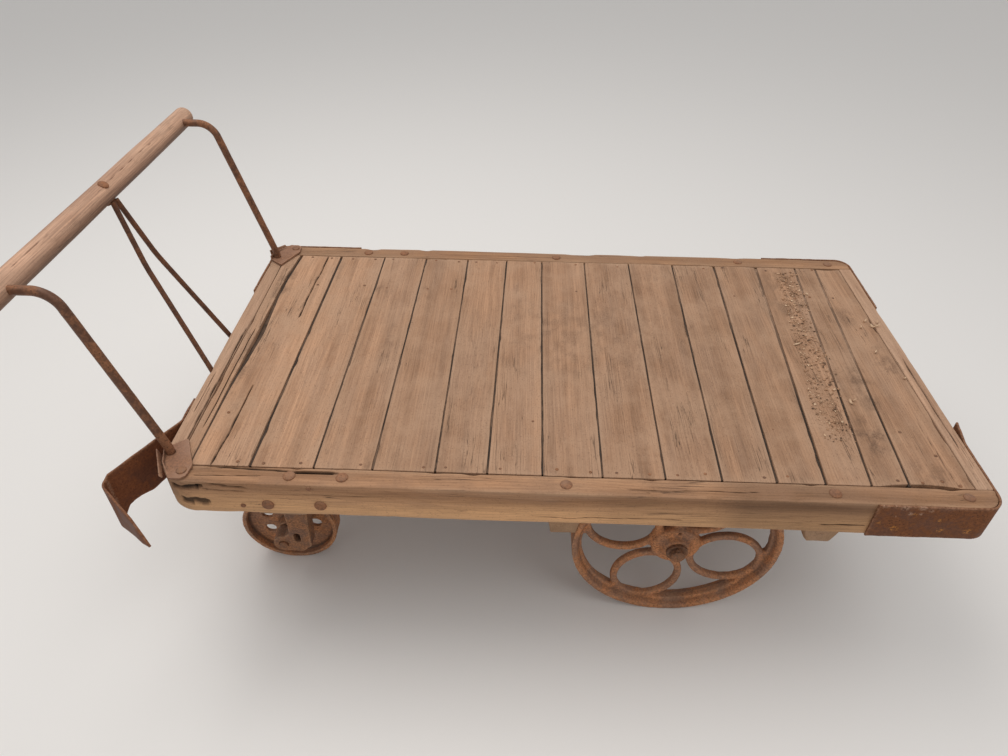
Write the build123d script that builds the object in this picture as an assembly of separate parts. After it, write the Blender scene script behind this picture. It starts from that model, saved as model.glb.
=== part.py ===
from build123d import *
import math
import os

# Four-wheel platform hand truck with a fixed bow handle, in millimetres.
# Frame: origin at the middle of the deck's top, +X towards the rear end,
# the handle stands over the -X end, +Y is the far side, +Z is up.

os.makedirs("parts", exist_ok=True)

# Platform
deck_length = 1626.0
deck_width = 914.0
corner_radius = 34.0

# Frame timbers
frame_depth = 88.0
sill_width = 47.0
rail_thickness = 34.0
stringer_width = 60.0
stringer_wheel_gap = 31.0
ledger_width = 18.0
ledger_depth = 22.0
bolster_depth = 52.0
bolster_inset = 12.0
bolster_round = 16.0
# Name, side of the axle, distance beyond the wheel's radius, width at the top, slope of each side
bolster_table = (("front", -1, 31.0, 68.0, 8.0), ("rear", 1, 15.0, 80.0, 17.0))
axle_beam_depth = 50.0
axle_beam_overhang = 55.0
caster_bolster_width = 110.0
caster_bolster_overhang = 75.0

# Deck boards
board_thickness = 22.0
board_end_gap = 1.5
rail_gap = 1.0

# Big wheels and their axle
wheel_radius = 233.0
wheel_deck_gap = 20.0
wheel_sill_gap = 44.0
wheel_axle_x = 253.5
tread_width = 50.0
rim_thickness = 15.0
rim_rib_depth = 9.0
rim_lip = 5.0
web_thickness = 18.0
web_chamfer = 4.0
loop_count = 4
loop_turn = -22.5
loop_band = 18.0
loop_gap = 14.0
loop_hub_gap = 4.5
loop_rim_gap = 5.0
vase_fillet = 6.0
hub_step = 4.0
hub_flange_radius = 55.0
hub_boss_radius = 31.0
hub_outer_reach = 29.0
hub_inner_reach = 42.0
axle_radius = 16.0
axle_overhang = 14.0
axle_end_chamfer = 3.0
axle_pin_radius = 4.0
axle_pin_length = 42.0
washer_thickness = 5.0
washer_radius = 24.0
running_clearance = 0.05
side_clearance = 1.0

# Axle pedestals
pedestal_width = 52.0
pedestal_base_length = 170.0
pedestal_base_thickness = 14.0
pedestal_web_half = 54.0
pedestal_boss_radius = 32.0

# Swivel casters
caster_wheel_radius = 116.5
caster_trail = 47.0
caster_end_distance = 193.0
caster_stringer_offset = 29.0
caster_tread_width = 46.0
caster_rim_thickness = 11.0
caster_web_thickness = 10.0
caster_hub_radius = 27.0
caster_hub_length = 60.0
caster_hole_count = 7
caster_hole_radius = 13.0
caster_hole_circle = 62.0
caster_axle_radius = 10.0
caster_axle_overhang = 4.0
fork_side_gap = 6.0
fork_leg_thickness = 12.0
fork_rib_depth = 26.0
fork_rib_width = 8.0
fork_leg_width = 56.0
fork_leg_taper = 8.0
fork_pocket_taper = 4.0
fork_heel_length = 30.0
fork_heel_rise = 6.0
fork_toe_rise = 40.0
fork_slot_length = 32.0
fork_slot_width = 15.0
fork_slot_offset = 11.0
fork_slot_rise = 24.0
fork_boss_radius = 26.0
fork_crown_thickness = 22.0
fork_wheel_gap = 13.0
swivel_radius = 50.0
swivel_neck_height = 14.0
race_height = 8.0
race_gap = 0.3
king_pin_radius = 11.0
king_pin_head_radius = 20.0
king_pin_head_height = 6.0
caster_plate_length = 150.0
caster_plate_width = 130.0
caster_plate_thickness = 10.0

# Corner bands
band_thickness = 4.5
band_leg = 240.0
band_spring_start = 173.0
band_spring_out = 12.0
# The torn band's bends: distance out beyond the end rail, distance in from the side sill's face
torn_band_bends = ((0.0, 242.0), (0.0, 172.0), (37.0, 105.0), (88.0, 5.0), (-25.0, -103.0))
torn_bend_radius = 18.0
torn_tip_drop = 62.0

# Handle
rod_radius = 9.0
rod_inset = 16.0
rod_side_distance = 72.0
rod_tang = 50.0
rod_straight_rise = 10.0
rod_level_run = 92.0
bar_radius = 21.0
bar_overhang = 55.0
bar_end_round = 5.0
bar_reach = 172.0
bar_z = 380.0
elbow_radius = 45.0
socket_thickness = 6.0
socket_lip_thickness = 3.0
socket_lip_height = 16.0
# A socket plate's corners: distance in from the end rail's face, from the side sill's face, rounding
socket_corners = (
    (1.0, 86.0, 3.0), (36.0, 114.0, 5.0), (71.0, 40.0, 16.0),
    (68.0, 4.0, 16.0), (38.0, 3.0, 3.0), (12.0, 42.0, 4.0),
)
brace_radius = 6.0
brace_eye_radius = 16.0
brace_eye_thickness = 6.0
brace_bend_height = 12.0
brace_bend_radius = 22.0
brace_foot_depth = 45.0
brace_foot_radius = 14.0
brace_bolt_radius = 6.0
brace_bolt_head_radius = 11.0
brace_bolt_sink = 3.0
brace_nut_radius = 9.0
brace_nut_height = 7.0
# Y at the eye, Y at the foot
brace_rods = ((-7.0, -100.0), (7.0, 35.0))

# Worked-out places along the platform and across it
half_length = deck_length / 2
half_width = deck_width / 2
sill_inner_y = half_width - sill_width
rail_inner_x = half_length - rail_thickness
wheel_y = sill_inner_y - wheel_sill_gap - tread_width / 2
stringer_y = wheel_y - tread_width / 2 - stringer_wheel_gap - stringer_width / 2
caster_y = stringer_y - caster_stringer_offset
caster_swivel_x = -half_length + caster_end_distance
caster_axle_x = caster_swivel_x - caster_trail
caster_bolster_half = stringer_y + stringer_width / 2 + caster_bolster_overhang
rod_x = -half_length + rod_inset
rod_y = half_width - rod_side_distance
bar_x = -half_length - bar_reach
bar_half_length = rod_y + bar_overhang
rod_elbow_x = bar_x + rod_level_run

# Worked-out heights: the big wheels pass under the deck, the casters fill what is left under their bolster
deck_height = 2 * wheel_radius + wheel_deck_gap + board_thickness
floor_z = -deck_height
frame_bottom = -frame_depth
bolster_bottom = frame_bottom - bolster_depth
axle_beam_bottom = bolster_bottom - axle_beam_depth
wheel_axle_z = floor_z + wheel_radius
caster_axle_z = floor_z + caster_wheel_radius
crown_bottom = caster_axle_z + caster_wheel_radius + fork_wheel_gap
crown_top = crown_bottom + fork_crown_thickness
race_bottom = crown_top + swivel_neck_height
plate_bottom = race_bottom + race_height
caster_seat_z = plate_bottom + caster_plate_thickness


def box(x0, x1, y0, y1, z0, z1):
    """A box between two opposite corners."""
    centre = ((x0 + x1) / 2, (y0 + y1) / 2, (z0 + z1) / 2)
    return Pos(*centre) * Box(abs(x1 - x0), abs(y1 - y0), abs(z1 - z0))


def rod_along(start, end, radius):
    """A straight round bar from one point to another."""
    axis = Vector(*end) - Vector(*start)
    plane = Plane(origin=start, z_dir=axis)
    return extrude(plane * Circle(radius), axis.length)


def round_on_y(radius, x, z, y0, y1):
    """A cylinder along Y between y0 and y1."""
    return Pos(x, (y0 + y1) / 2, z) * Rot(90, 0, 0) * Cylinder(radius, abs(y1 - y0))


def round_on_z(radius, x, y, z0, z1):
    """A cylinder along Z between z0 and z1."""
    return Pos(x, y, (z0 + z1) / 2) * Cylinder(radius, abs(z1 - z0))


def plate_on_y(outline, y0, y1):
    """An outline drawn in X and Z, made solid between y0 and y1."""
    towards = (0, math.copysign(1, y1 - y0), 0)
    return extrude(Plane.XZ.offset(-y0) * outline, abs(y1 - y0), dir=towards)


def save(name, shape):
    """Writes one node."""
    export_step(shape, f"parts/{name}.step")


# Frame of side sills and end rails

platform_outline = extrude(
    Pos(0, 0, frame_bottom) * RectangleRounded(deck_length, deck_width, corner_radius), frame_depth
)


def rod_hole(side):
    """The hole in the end rail that takes the tang of a handle rod."""
    return round_on_z(rod_radius + running_clearance, rod_x, side * rod_y, -rod_tang - 1, 1)


for name, side in (("near", -1), ("far", 1)):
    strip = box(-half_length, half_length, side * sill_inner_y, side * half_width, frame_bottom, 0)
    save(f"side_sill_{name}", platform_outline & strip)
    ledger = box(
        -rail_inner_x, rail_inner_x,
        side * (sill_inner_y - ledger_width), side * sill_inner_y,
        -board_thickness - ledger_depth, -board_thickness,
    )
    save(f"side_ledger_{name}", ledger)
    stringer = box(
        -rail_inner_x, rail_inner_x,
        side * (stringer_y - stringer_width / 2), side * (stringer_y + stringer_width / 2),
        frame_bottom, -board_thickness,
    )
    save(f"stringer_{name}", stringer)

handle_rail = box(-half_length, -rail_inner_x, -sill_inner_y, sill_inner_y, frame_bottom, 0)
save("end_rail_handle", handle_rail - rod_hole(-1) - rod_hole(1))
save("end_rail_rear", box(rail_inner_x, half_length, -sill_inner_y, sill_inner_y, frame_bottom, 0))

# Deck boards, split at the joints: place at the near end and at the far end, as shares of the clear
# half length, and the width of the gap
board_joints = (
    (-1.0, -1.0, 2 * rail_gap),
    (-0.983, -0.938, 8.0),
    (-0.814, -0.798, 5.0),
    (-0.652, -0.639, 3.0),
    (-0.503, -0.488, 2.5),
    (-0.344, -0.336, 2.5),
    (-0.213, -0.195, 2.5),
    (-0.074, -0.069, 2.5),
    (0.077, 0.085, 2.5),
    (0.234, 0.244, 2.5),
    (0.375, 0.401, 3.0),
    (0.511, 0.552, 4.0),
    (0.632, 0.703, 5.0),
    (0.745, 0.842, 4.0),
    (0.840, 0.914, 4.0),
    (1.0, 1.0, 2 * rail_gap),
)
board_half = sill_inner_y - board_end_gap

for number, (left, right) in enumerate(zip(board_joints, board_joints[1:]), start=1):
    near_left = left[0] * rail_inner_x + left[2] / 2
    far_left = left[1] * rail_inner_x + left[2] / 2
    near_right = right[0] * rail_inner_x - right[2] / 2
    far_right = right[1] * rail_inner_x - right[2] / 2
    outline = Polygon(
        (near_left, -board_half), (near_right, -board_half),
        (far_right, board_half), (far_left, board_half),
        align=None,
    )
    save(f"deck_board_{number:02d}", extrude(Pos(0, 0, -board_thickness) * outline, board_thickness))

# Cross bolsters and the beams that carry the axle

bolster_half = half_width - bolster_inset
bolster_x = {}

for name, sign, beyond_wheel, width, slope in bolster_table:
    x = wheel_axle_x + sign * (wheel_radius + beyond_wheel)
    bolster_x[name] = x
    section = Polygon(
        (x - width / 2, frame_bottom), (x + width / 2, frame_bottom),
        (x + width / 2 - slope, bolster_bottom), (x - width / 2 + slope, bolster_bottom),
        align=None,
    )
    bolster = plate_on_y(section, -bolster_half, bolster_half)
    low_ends = bolster.edges().filter_by(Axis.X).group_by(Axis.Z)[0]
    save(f"axle_bolster_{name}", fillet(low_ends, bolster_round))

for name, side in (("near", -1), ("far", 1)):
    beam = box(
        bolster_x["front"] - axle_beam_overhang, bolster_x["rear"] + axle_beam_overhang,
        side * (stringer_y - stringer_width / 2), side * (stringer_y + stringer_width / 2),
        axle_beam_bottom, bolster_bottom,
    )
    save(f"axle_beam_{name}", beam)

caster_bolster = box(
    caster_swivel_x - caster_bolster_width / 2, caster_swivel_x + caster_bolster_width / 2,
    -caster_bolster_half, caster_bolster_half, caster_seat_z, frame_bottom,
)
save("caster_bolster", caster_bolster)

# Axle, its pedestals and the parts that hold the wheels on

hub_outer_y = wheel_y + hub_outer_reach
hub_inner_y = wheel_y - hub_inner_reach
axle_half = hub_outer_y + side_clearance + washer_thickness + axle_overhang
pin_y = hub_outer_y + side_clearance + washer_thickness + axle_pin_radius + side_clearance

axle = round_on_y(axle_radius, wheel_axle_x, wheel_axle_z, -axle_half, axle_half)
axle = chamfer(axle.edges().filter_by(GeomType.CIRCLE), axle_end_chamfer)
for side in (-1, 1):
    axle -= round_on_z(
        axle_pin_radius + running_clearance, wheel_axle_x, side * pin_y,
        wheel_axle_z - axle_pin_length, wheel_axle_z + axle_pin_length,
    )
save("axle", axle)


def pedestal(side):
    """A cast hanger: flange under the beam, tapered web and a round boss for the axle."""
    y0 = side * stringer_y - pedestal_width / 2
    y1 = side * stringer_y + pedestal_width / 2
    flange = box(
        wheel_axle_x - pedestal_base_length / 2, wheel_axle_x + pedestal_base_length / 2,
        y0, y1, axle_beam_bottom - pedestal_base_thickness, axle_beam_bottom,
    )
    top = axle_beam_bottom - pedestal_base_thickness
    web = Polygon(
        (-pedestal_web_half, top), (pedestal_web_half, top),
        (pedestal_boss_radius, wheel_axle_z), (-pedestal_boss_radius, wheel_axle_z),
        align=None,
    )
    web = Pos(wheel_axle_x, 0, 0) * plate_on_y(web, y0, y1)
    boss = round_on_y(pedestal_boss_radius, wheel_axle_x, wheel_axle_z, y0, y1)
    bore = round_on_y(axle_radius + running_clearance, wheel_axle_x, wheel_axle_z, y0 - 1, y1 + 1)
    return flange + web + boss - bore


collar_outer = wheel_y - hub_inner_reach - side_clearance
collar_inner = stringer_y + pedestal_width / 2

for name, side in (("near", -1), ("far", 1)):
    save(f"axle_pedestal_{name}", pedestal(side))
    washer_y = hub_outer_y + side_clearance
    washer = round_on_y(
        washer_radius, wheel_axle_x, wheel_axle_z, side * washer_y, side * (washer_y + washer_thickness)
    )
    washer -= round_on_y(
        axle_radius + running_clearance, wheel_axle_x, wheel_axle_z,
        side * (washer_y - 1), side * (washer_y + washer_thickness + 1),
    )
    collar = round_on_y(
        washer_radius, wheel_axle_x, wheel_axle_z, side * collar_inner, side * collar_outer
    )
    collar -= round_on_y(
        axle_radius + running_clearance, wheel_axle_x, wheel_axle_z,
        side * (collar_inner - 1), side * (collar_outer + 1),
    )
    save(f"axle_washers_{name}", Compound(children=[washer, collar]))
    pin = round_on_z(
        axle_pin_radius, wheel_axle_x, side * pin_y,
        wheel_axle_z - axle_pin_length / 2, wheel_axle_z + axle_pin_length / 2,
    )
    save(f"axle_pin_{name}", pin)

# Big wheels: flat tread, four oval loops in place of spokes with vase-shaped gaps between them, stepped hub

rim_inner_radius = wheel_radius - rim_thickness
rib_radius = rim_inner_radius - rim_rib_depth
loop_half_length = (rib_radius - loop_rim_gap - hub_flange_radius - loop_hub_gap) / 2
loop_centre = hub_flange_radius + loop_hub_gap + loop_half_length
# Each band, an ellipse, stays half the gap away from the line midway between two loops
band_half_length = loop_half_length + loop_band
midway_sine = math.sin(math.pi / loop_count)
midway_cosine = math.cos(math.pi / loop_count)
band_reach = loop_centre * midway_sine - loop_gap / 2
band_half_width = math.sqrt(band_reach ** 2 - (band_half_length * midway_sine) ** 2) / midway_cosine
loop_half_width = band_half_width - loop_band


def wheel_web():
    """The web inside the tread: the loops' bands, the rim's rib and the hub's flange, edges eased."""
    turns = [loop_turn + step * 360 / loop_count for step in range(loop_count)]
    places = [Rot(0, 0, turn) * Pos(loop_centre, 0) for turn in turns]
    ovals = Sketch() + [place * Ellipse(loop_half_length, loop_half_width) for place in places]
    loops = Sketch() + [place * Ellipse(band_half_length, band_half_width) for place in places]
    vases = Circle(rib_radius) - Circle(hub_flange_radius) - loops
    vases = fillet(vases.vertices(), vase_fillet)
    pierced = Circle(rim_inner_radius + rim_thickness / 3) - vases - ovals
    web = extrude(Plane.XZ * pierced, web_thickness / 2, both=True)
    inner_edges = [e for e in web.edges().filter_by(Plane.XZ) if e.length < math.tau * rib_radius]
    return chamfer(inner_edges, web_chamfer)


def big_wheel(side):
    """The wheel about its own axle line, then set on its side of the truck, its short hub end outwards."""
    rim_profile = Polygon(
        (wheel_radius, -tread_width / 2), (wheel_radius, tread_width / 2),
        (rim_inner_radius + rim_lip, tread_width / 2), (rim_inner_radius, tread_width / 2 - rim_lip),
        (rim_inner_radius, -tread_width / 2 + rim_lip), (rim_inner_radius + rim_lip, -tread_width / 2),
        align=None,
    )
    bore_radius = axle_radius + running_clearance
    hub_profile = Polygon(
        (bore_radius, -hub_outer_reach), (hub_boss_radius - hub_step, -hub_outer_reach),
        (hub_boss_radius, -hub_outer_reach + hub_step),
        (hub_boss_radius, -web_thickness), (hub_flange_radius - hub_step, -web_thickness),
        (hub_flange_radius, -web_thickness + hub_step), (hub_flange_radius, web_thickness - hub_step),
        (hub_flange_radius - hub_step, web_thickness), (hub_boss_radius, web_thickness),
        (hub_boss_radius, hub_inner_reach), (bore_radius, hub_inner_reach),
        align=None,
    )
    rim = revolve(Plane.XY * rim_profile, Axis.Y)
    hub = revolve(Plane.XY * hub_profile, Axis.Y)
    bore = round_on_y(bore_radius, 0, 0, -hub_outer_reach - 1, hub_inner_reach + 1)
    wheel = rim + wheel_web() + hub - bore
    if side > 0:
        wheel = Rot(0, 0, 180) * wheel
    return Pos(wheel_axle_x, side * wheel_y, wheel_axle_z) * wheel


for name, side in (("near", -1), ("far", 1)):
    save(f"big_wheel_{name}", big_wheel(side))

# Casters: top plate with king pin on the truck, fork that swivels, disc wheel with round holes

leg_inner = caster_hub_length / 2 + fork_side_gap
leg_outer = leg_inner + fork_rib_depth + fork_leg_thickness


def caster_plate(y):
    """Bolted plate, upper race and king pin, one forging."""
    plate = box(
        caster_swivel_x - caster_plate_length / 2, caster_swivel_x + caster_plate_length / 2,
        y - caster_plate_width / 2, y + caster_plate_width / 2, plate_bottom, caster_seat_z,
    )
    race = round_on_z(swivel_radius, caster_swivel_x, y, race_bottom, plate_bottom)
    head_top = crown_bottom - race_gap
    head_bottom = head_top - king_pin_head_height
    pin = round_on_z(king_pin_radius, caster_swivel_x, y, head_bottom, race_bottom)
    head = round_on_z(king_pin_head_radius, caster_swivel_x, y, head_bottom, head_top)
    return plate + race + pin + head


def fork_leg(y, side):
    """A channel-shaped leg: flat plate with a slot, a rib on each edge and a boss at the wheel's axle."""
    left = caster_swivel_x - fork_leg_width / 2
    right = caster_swivel_x + fork_leg_width / 2
    boss_top = caster_axle_z + fork_boss_radius
    boss_bottom = caster_axle_z - fork_boss_radius
    outline = Polygon(
        (left, crown_top), (right, crown_top), (right - fork_leg_taper, caster_axle_z - fork_heel_rise),
        (right - fork_heel_length, boss_bottom), (caster_axle_x, boss_bottom),
        (caster_axle_x - fork_boss_radius, caster_axle_z), (left, caster_axle_z + fork_toe_rise),
        align=None,
    )
    outline += Pos(caster_axle_x, caster_axle_z) * Circle(fork_boss_radius)
    slot_place = Pos(caster_swivel_x - fork_slot_offset, caster_axle_z + fork_slot_rise)
    outline -= slot_place * SlotOverall(fork_slot_length, fork_slot_width, rotation=90)
    pocket = Polygon(
        (left + fork_rib_width, crown_bottom), (right - fork_rib_width, crown_bottom),
        (right - fork_rib_width - fork_pocket_taper, boss_top), (left + fork_rib_width, boss_top),
        align=None,
    )
    outer = y + side * leg_outer
    plate_face = outer - side * fork_leg_thickness
    inner = y + side * leg_inner
    return plate_on_y(outline, outer, inner) - plate_on_y(pocket, plate_face, inner - side)


def caster_fork(y):
    """Crown plate with the lower race, two legs and the bores for king pin and axle."""
    crown = box(
        caster_swivel_x - fork_leg_width / 2, caster_swivel_x + fork_leg_width / 2,
        y - leg_outer, y + leg_outer, crown_bottom, crown_top,
    )
    boss = round_on_z(swivel_radius, caster_swivel_x, y, crown_bottom, race_bottom - race_gap)
    fork = crown + boss + fork_leg(y, -1) + fork_leg(y, 1)
    fork -= round_on_z(
        king_pin_radius + running_clearance, caster_swivel_x, y, crown_bottom - 1, race_bottom + 1
    )
    fork -= round_on_y(
        caster_axle_radius + running_clearance, caster_axle_x, caster_axle_z,
        y - leg_outer - 1, y + leg_outer + 1,
    )
    return fork


def caster_wheel(y):
    """Cast disc wheel: flat tread, thin web with a circle of round holes, long hub."""
    rim_inner = caster_wheel_radius - caster_rim_thickness
    profile = Polygon(
        (caster_axle_radius + running_clearance, -caster_hub_length / 2),
        (caster_hub_radius, -caster_hub_length / 2), (caster_hub_radius, -caster_web_thickness / 2),
        (rim_inner, -caster_web_thickness / 2), (rim_inner, -caster_tread_width / 2),
        (caster_wheel_radius, -caster_tread_width / 2), (caster_wheel_radius, caster_tread_width / 2),
        (rim_inner, caster_tread_width / 2), (rim_inner, caster_web_thickness / 2),
        (caster_hub_radius, caster_web_thickness / 2), (caster_hub_radius, caster_hub_length / 2),
        (caster_axle_radius + running_clearance, caster_hub_length / 2),
        align=None,
    )
    wheel = revolve(Plane.XY * profile, Axis.Y)
    holes = Sketch() + [
        place * Circle(caster_hole_radius) for place in PolarLocations(caster_hole_circle, caster_hole_count)
    ]
    wheel -= extrude(Plane.XZ * holes, caster_web_thickness, both=True)
    return Pos(caster_axle_x, y, caster_axle_z) * wheel


for name, side in (("near", -1), ("far", 1)):
    y = side * caster_y
    save(f"caster_plate_{name}", caster_plate(y))
    save(f"caster_fork_{name}", caster_fork(y))
    save(f"caster_wheel_{name}", caster_wheel(y))
    reach = leg_outer + caster_axle_overhang
    caster_axle = round_on_y(caster_axle_radius, caster_axle_x, caster_axle_z, y - reach, y + reach)
    save(f"caster_axle_{name}", caster_axle)

# Corner bands: a strap bent round each corner; the near handle corner's has torn loose

x_face = half_length + band_thickness / 2
y_face = half_width + band_thickness / 2
band_bend_radius = corner_radius + band_thickness / 2
tight_bends = ((x_face - band_leg, y_face), (x_face, y_face), (x_face, y_face - band_leg))
sprung_bends = (
    (x_face - band_leg, y_face), (x_face, y_face), (x_face, y_face - band_spring_start),
    (x_face + band_spring_out, y_face - band_leg),
)


def strap(bends, bend_radius):
    """A flat strap on edge, as deep as the frame, that follows a line with rounded bends."""
    path = FilletPolyline(*bends, radius=bend_radius)
    return extrude(Pos(0, 0, frame_bottom) * trace(path, line_width=band_thickness), frame_depth)


for name, end, side, bends in (
    ("rear_near", 1, -1, sprung_bends), ("rear_far", 1, 1, tight_bends), ("handle_far", -1, 1, tight_bends),
):
    placed_bends = [(end * x, side * y) for x, y in bends]
    save(f"corner_band_{name}", strap(placed_bends, band_bend_radius))

torn_bends = [(-x_face - out, inward - half_width) for out, inward in torn_band_bends]
torn_band = strap(torn_bends, torn_bend_radius)
fold_y = torn_bends[-2][1]
tip_y = torn_bends[-1][1] - band_thickness
torn_off = Polygon((fold_y, 0), (fold_y, 1), (tip_y, 1), (tip_y, -torn_tip_drop), align=None)
torn_band -= extrude(Plane.YZ * torn_off, 2 * half_length, both=True)
save("corner_band_handle_near", torn_band)

# Handle: two bent rods, a round wooden crossbar and two thin braces

def handle_rod(y):
    """Rod from its tang in the end rail, leaning out, then level into the crossbar."""
    path = FilletPolyline(
        (rod_x, y, -rod_tang), (rod_x, y, socket_thickness + rod_straight_rise), (rod_elbow_x, y, bar_z),
        (bar_x, y, bar_z),
        radius=elbow_radius,
    )
    return sweep(Plane(origin=(rod_x, y, -rod_tang), z_dir=(0, 0, 1)) * Circle(rod_radius), path=path)


def handle_socket(side):
    """The plate that the rod comes through, with a low lip along its outer edge."""
    corners = [(-half_length + x, side * (half_width - y)) for x, y, _ in socket_corners]
    outline = Polygon(*corners, align=None)
    for corner, (_, _, rounding) in zip(corners, socket_corners):
        outline = fillet(outline.vertices().sort_by_distance(Vector(*corner))[0], rounding)
    plate = extrude(outline, socket_thickness, dir=(0, 0, 1))
    top, middle, bottom = corners[0], corners[-1], corners[-2]
    lip = trace(Polyline(top, middle, bottom), line_width=socket_lip_thickness)
    lip = extrude(lip, socket_lip_height, dir=(0, 0, 1))
    lip_side = Polygon(
        (top[1], 0), (top[1], socket_lip_height), (bottom[1], socket_thickness), (bottom[1], 0), align=None
    )
    lip &= extrude(Plane.YZ * lip_side, 2 * half_length, both=True)
    hole = round_on_z(rod_radius + running_clearance, rod_x, side * rod_y, -1, socket_lip_height + 1)
    return plate + lip - hole


crossbar = round_on_y(bar_radius, bar_x, bar_z, -bar_half_length, bar_half_length)
crossbar = fillet(crossbar.edges().filter_by(GeomType.CIRCLE), bar_end_round)

for name, side in (("near", -1), ("far", 1)):
    save(f"handle_rod_{name}", handle_rod(side * rod_y))
    save(f"handle_socket_{name}", handle_socket(side))
    crossbar -= rod_along(
        (bar_x, side * rod_y, bar_z), (bar_x + 2 * bar_radius, side * rod_y, bar_z),
        rod_radius + running_clearance,
    )

bar_top = bar_z + bar_radius
crossbar -= round_on_z(brace_bolt_radius + running_clearance, bar_x, 0, bar_z - 2 * bar_radius, bar_top)
crossbar -= round_on_z(brace_bolt_head_radius + 1, bar_x, 0, bar_top - brace_bolt_sink, bar_top + 1)
save("handle_crossbar", crossbar)

eye_top = bar_z - bar_radius
eye_bottom = eye_top - brace_eye_thickness
brace = round_on_z(brace_eye_radius, bar_x, 0, eye_bottom, eye_top)
for start_y, foot_y in brace_rods:
    start = (bar_x + brace_eye_radius, start_y, (eye_top + eye_bottom) / 2)
    foot_x = -half_length - brace_radius
    bend = (foot_x, foot_y, brace_bend_height)
    foot = (foot_x, foot_y, -brace_foot_depth)
    path = FilletPolyline(start, bend, foot, radius=brace_bend_radius)
    brace += sweep(Plane(origin=path @ 0, z_dir=path % 0) * Circle(brace_radius), path=path)
    foot_centre = Pos(-half_length - brace_radius / 2, foot_y, -brace_foot_depth)
    brace += foot_centre * Rot(0, 90, 0) * Cylinder(brace_foot_radius, brace_radius)
brace -= round_on_z(brace_bolt_radius + running_clearance, bar_x, 0, eye_bottom - 1, eye_top + 1)
save("handle_brace", brace)

nut_bottom = eye_bottom - brace_nut_height
brace_bolt = round_on_z(brace_bolt_radius, bar_x, 0, nut_bottom, bar_top - brace_bolt_sink)
brace_bolt += round_on_z(brace_nut_radius, bar_x, 0, nut_bottom, eye_bottom)
brace_bolt += round_on_z(
    brace_bolt_head_radius, bar_x, 0, bar_top - brace_bolt_sink, bar_top - brace_bolt_sink + brace_nut_height
)
save("brace_bolt", brace_bolt)
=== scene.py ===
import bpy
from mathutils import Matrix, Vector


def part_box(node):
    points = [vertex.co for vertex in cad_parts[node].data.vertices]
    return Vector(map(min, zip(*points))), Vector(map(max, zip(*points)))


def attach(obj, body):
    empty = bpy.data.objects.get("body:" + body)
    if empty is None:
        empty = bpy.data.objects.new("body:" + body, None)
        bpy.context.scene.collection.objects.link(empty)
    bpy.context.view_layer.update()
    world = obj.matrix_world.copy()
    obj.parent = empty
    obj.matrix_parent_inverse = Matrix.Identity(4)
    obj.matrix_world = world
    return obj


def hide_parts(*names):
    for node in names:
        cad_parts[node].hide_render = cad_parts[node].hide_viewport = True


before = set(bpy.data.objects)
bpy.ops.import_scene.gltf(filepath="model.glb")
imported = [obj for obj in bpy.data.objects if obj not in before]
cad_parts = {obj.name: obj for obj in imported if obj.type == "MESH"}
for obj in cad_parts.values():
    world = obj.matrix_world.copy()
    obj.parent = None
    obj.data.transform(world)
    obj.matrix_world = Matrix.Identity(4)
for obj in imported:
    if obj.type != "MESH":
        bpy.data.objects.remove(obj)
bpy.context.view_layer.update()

import math

import bpy
import numpy as np
from mathutils import Matrix, Vector

# Four-wheel platform hand truck: weathered timber, rusty strap iron and cast iron wheels.
# Metres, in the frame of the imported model: +X to the rear end, +Z up, deck top at z = 0.

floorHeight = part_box("big_wheel_near")[0].z
truckBody = "truck"
sides = {"near": -1, "far": 1}


# Arrays and meshes

def smoothStep(low, high, value):
    # 0 below low, 1 above high and an even curve between
    share = np.clip((value - low) / (high - low), 0, 1)
    return share * share * (3 - 2 * share)


def valueNoise(points, seed=0):
    # random heights at whole-number corners, blended evenly between the eight corners
    # round each point; -1 to 1
    cell = np.floor(points).astype(np.int64)
    part = points - cell
    part = part * part * (3 - 2 * part)
    total = np.zeros(points.shape[:-1])
    primes = np.array((374761393, 668265263, 362437))
    for corner in np.ndindex(2, 2, 2):
        at = cell + np.array(corner)
        code = ((at * primes).sum(axis=-1) + seed * 1013904223) & 0xFFFFFFFF
        code = ((code ^ (code >> 13)) * 1274126177) & 0xFFFFFFFF
        height = ((code ^ (code >> 16)) & 0xFFFF) / 65535
        weight = np.where(np.array(corner) == 1, part, 1 - part).prod(axis=-1)
        total += weight * height
    return total * 2 - 1


def lineNoise(along, scale, seed):
    # noise along one direction, a different line for each seed
    return valueNoise(np.stack([along * scale, along * 0 + seed, along * 0], axis=-1), seed)


def half01(noise):
    # noise from -1 to 1 as a share from 0 to 1
    return 0.5 + 0.5 * noise


def gridFaces(rows, columns, closeRows=False, closeColumns=True):
    # squares between neighbouring rows and columns of a grid of points
    row, column = np.meshgrid(np.arange(rows if closeRows else rows - 1),
                              np.arange(columns if closeColumns else columns - 1), indexing="ij")
    nextRow = (row + 1) % rows
    nextColumn = (column + 1) % columns
    corners = [row * columns + column, row * columns + nextColumn,
               nextRow * columns + nextColumn, nextRow * columns + column]
    return np.stack(corners, axis=-1).reshape(-1, 4)


def closedGrid(points):
    # a tube of rings with a pole at the middle of its first and last ring
    rows, columns = points.shape[:2]
    flat = points.reshape(-1, 3)
    poles = np.stack([points[0].mean(axis=0), points[-1].mean(axis=0)])
    around = np.arange(columns)
    after = (around + 1) % columns
    startPole = np.full(columns, len(flat))
    startFan = np.stack([startPole, after, around], axis=1)
    endRing = (rows - 1) * columns
    endFan = np.stack([startPole + 1, endRing + around, endRing + after], axis=1)
    return np.concatenate([flat, poles]), [gridFaces(rows, columns), startFan, endFan]


def withPoles(values, pole=0.0):
    # a value at each point of a grid, then one for each of its two poles
    return np.concatenate([values.reshape(-1), np.full(2, pole)])


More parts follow.
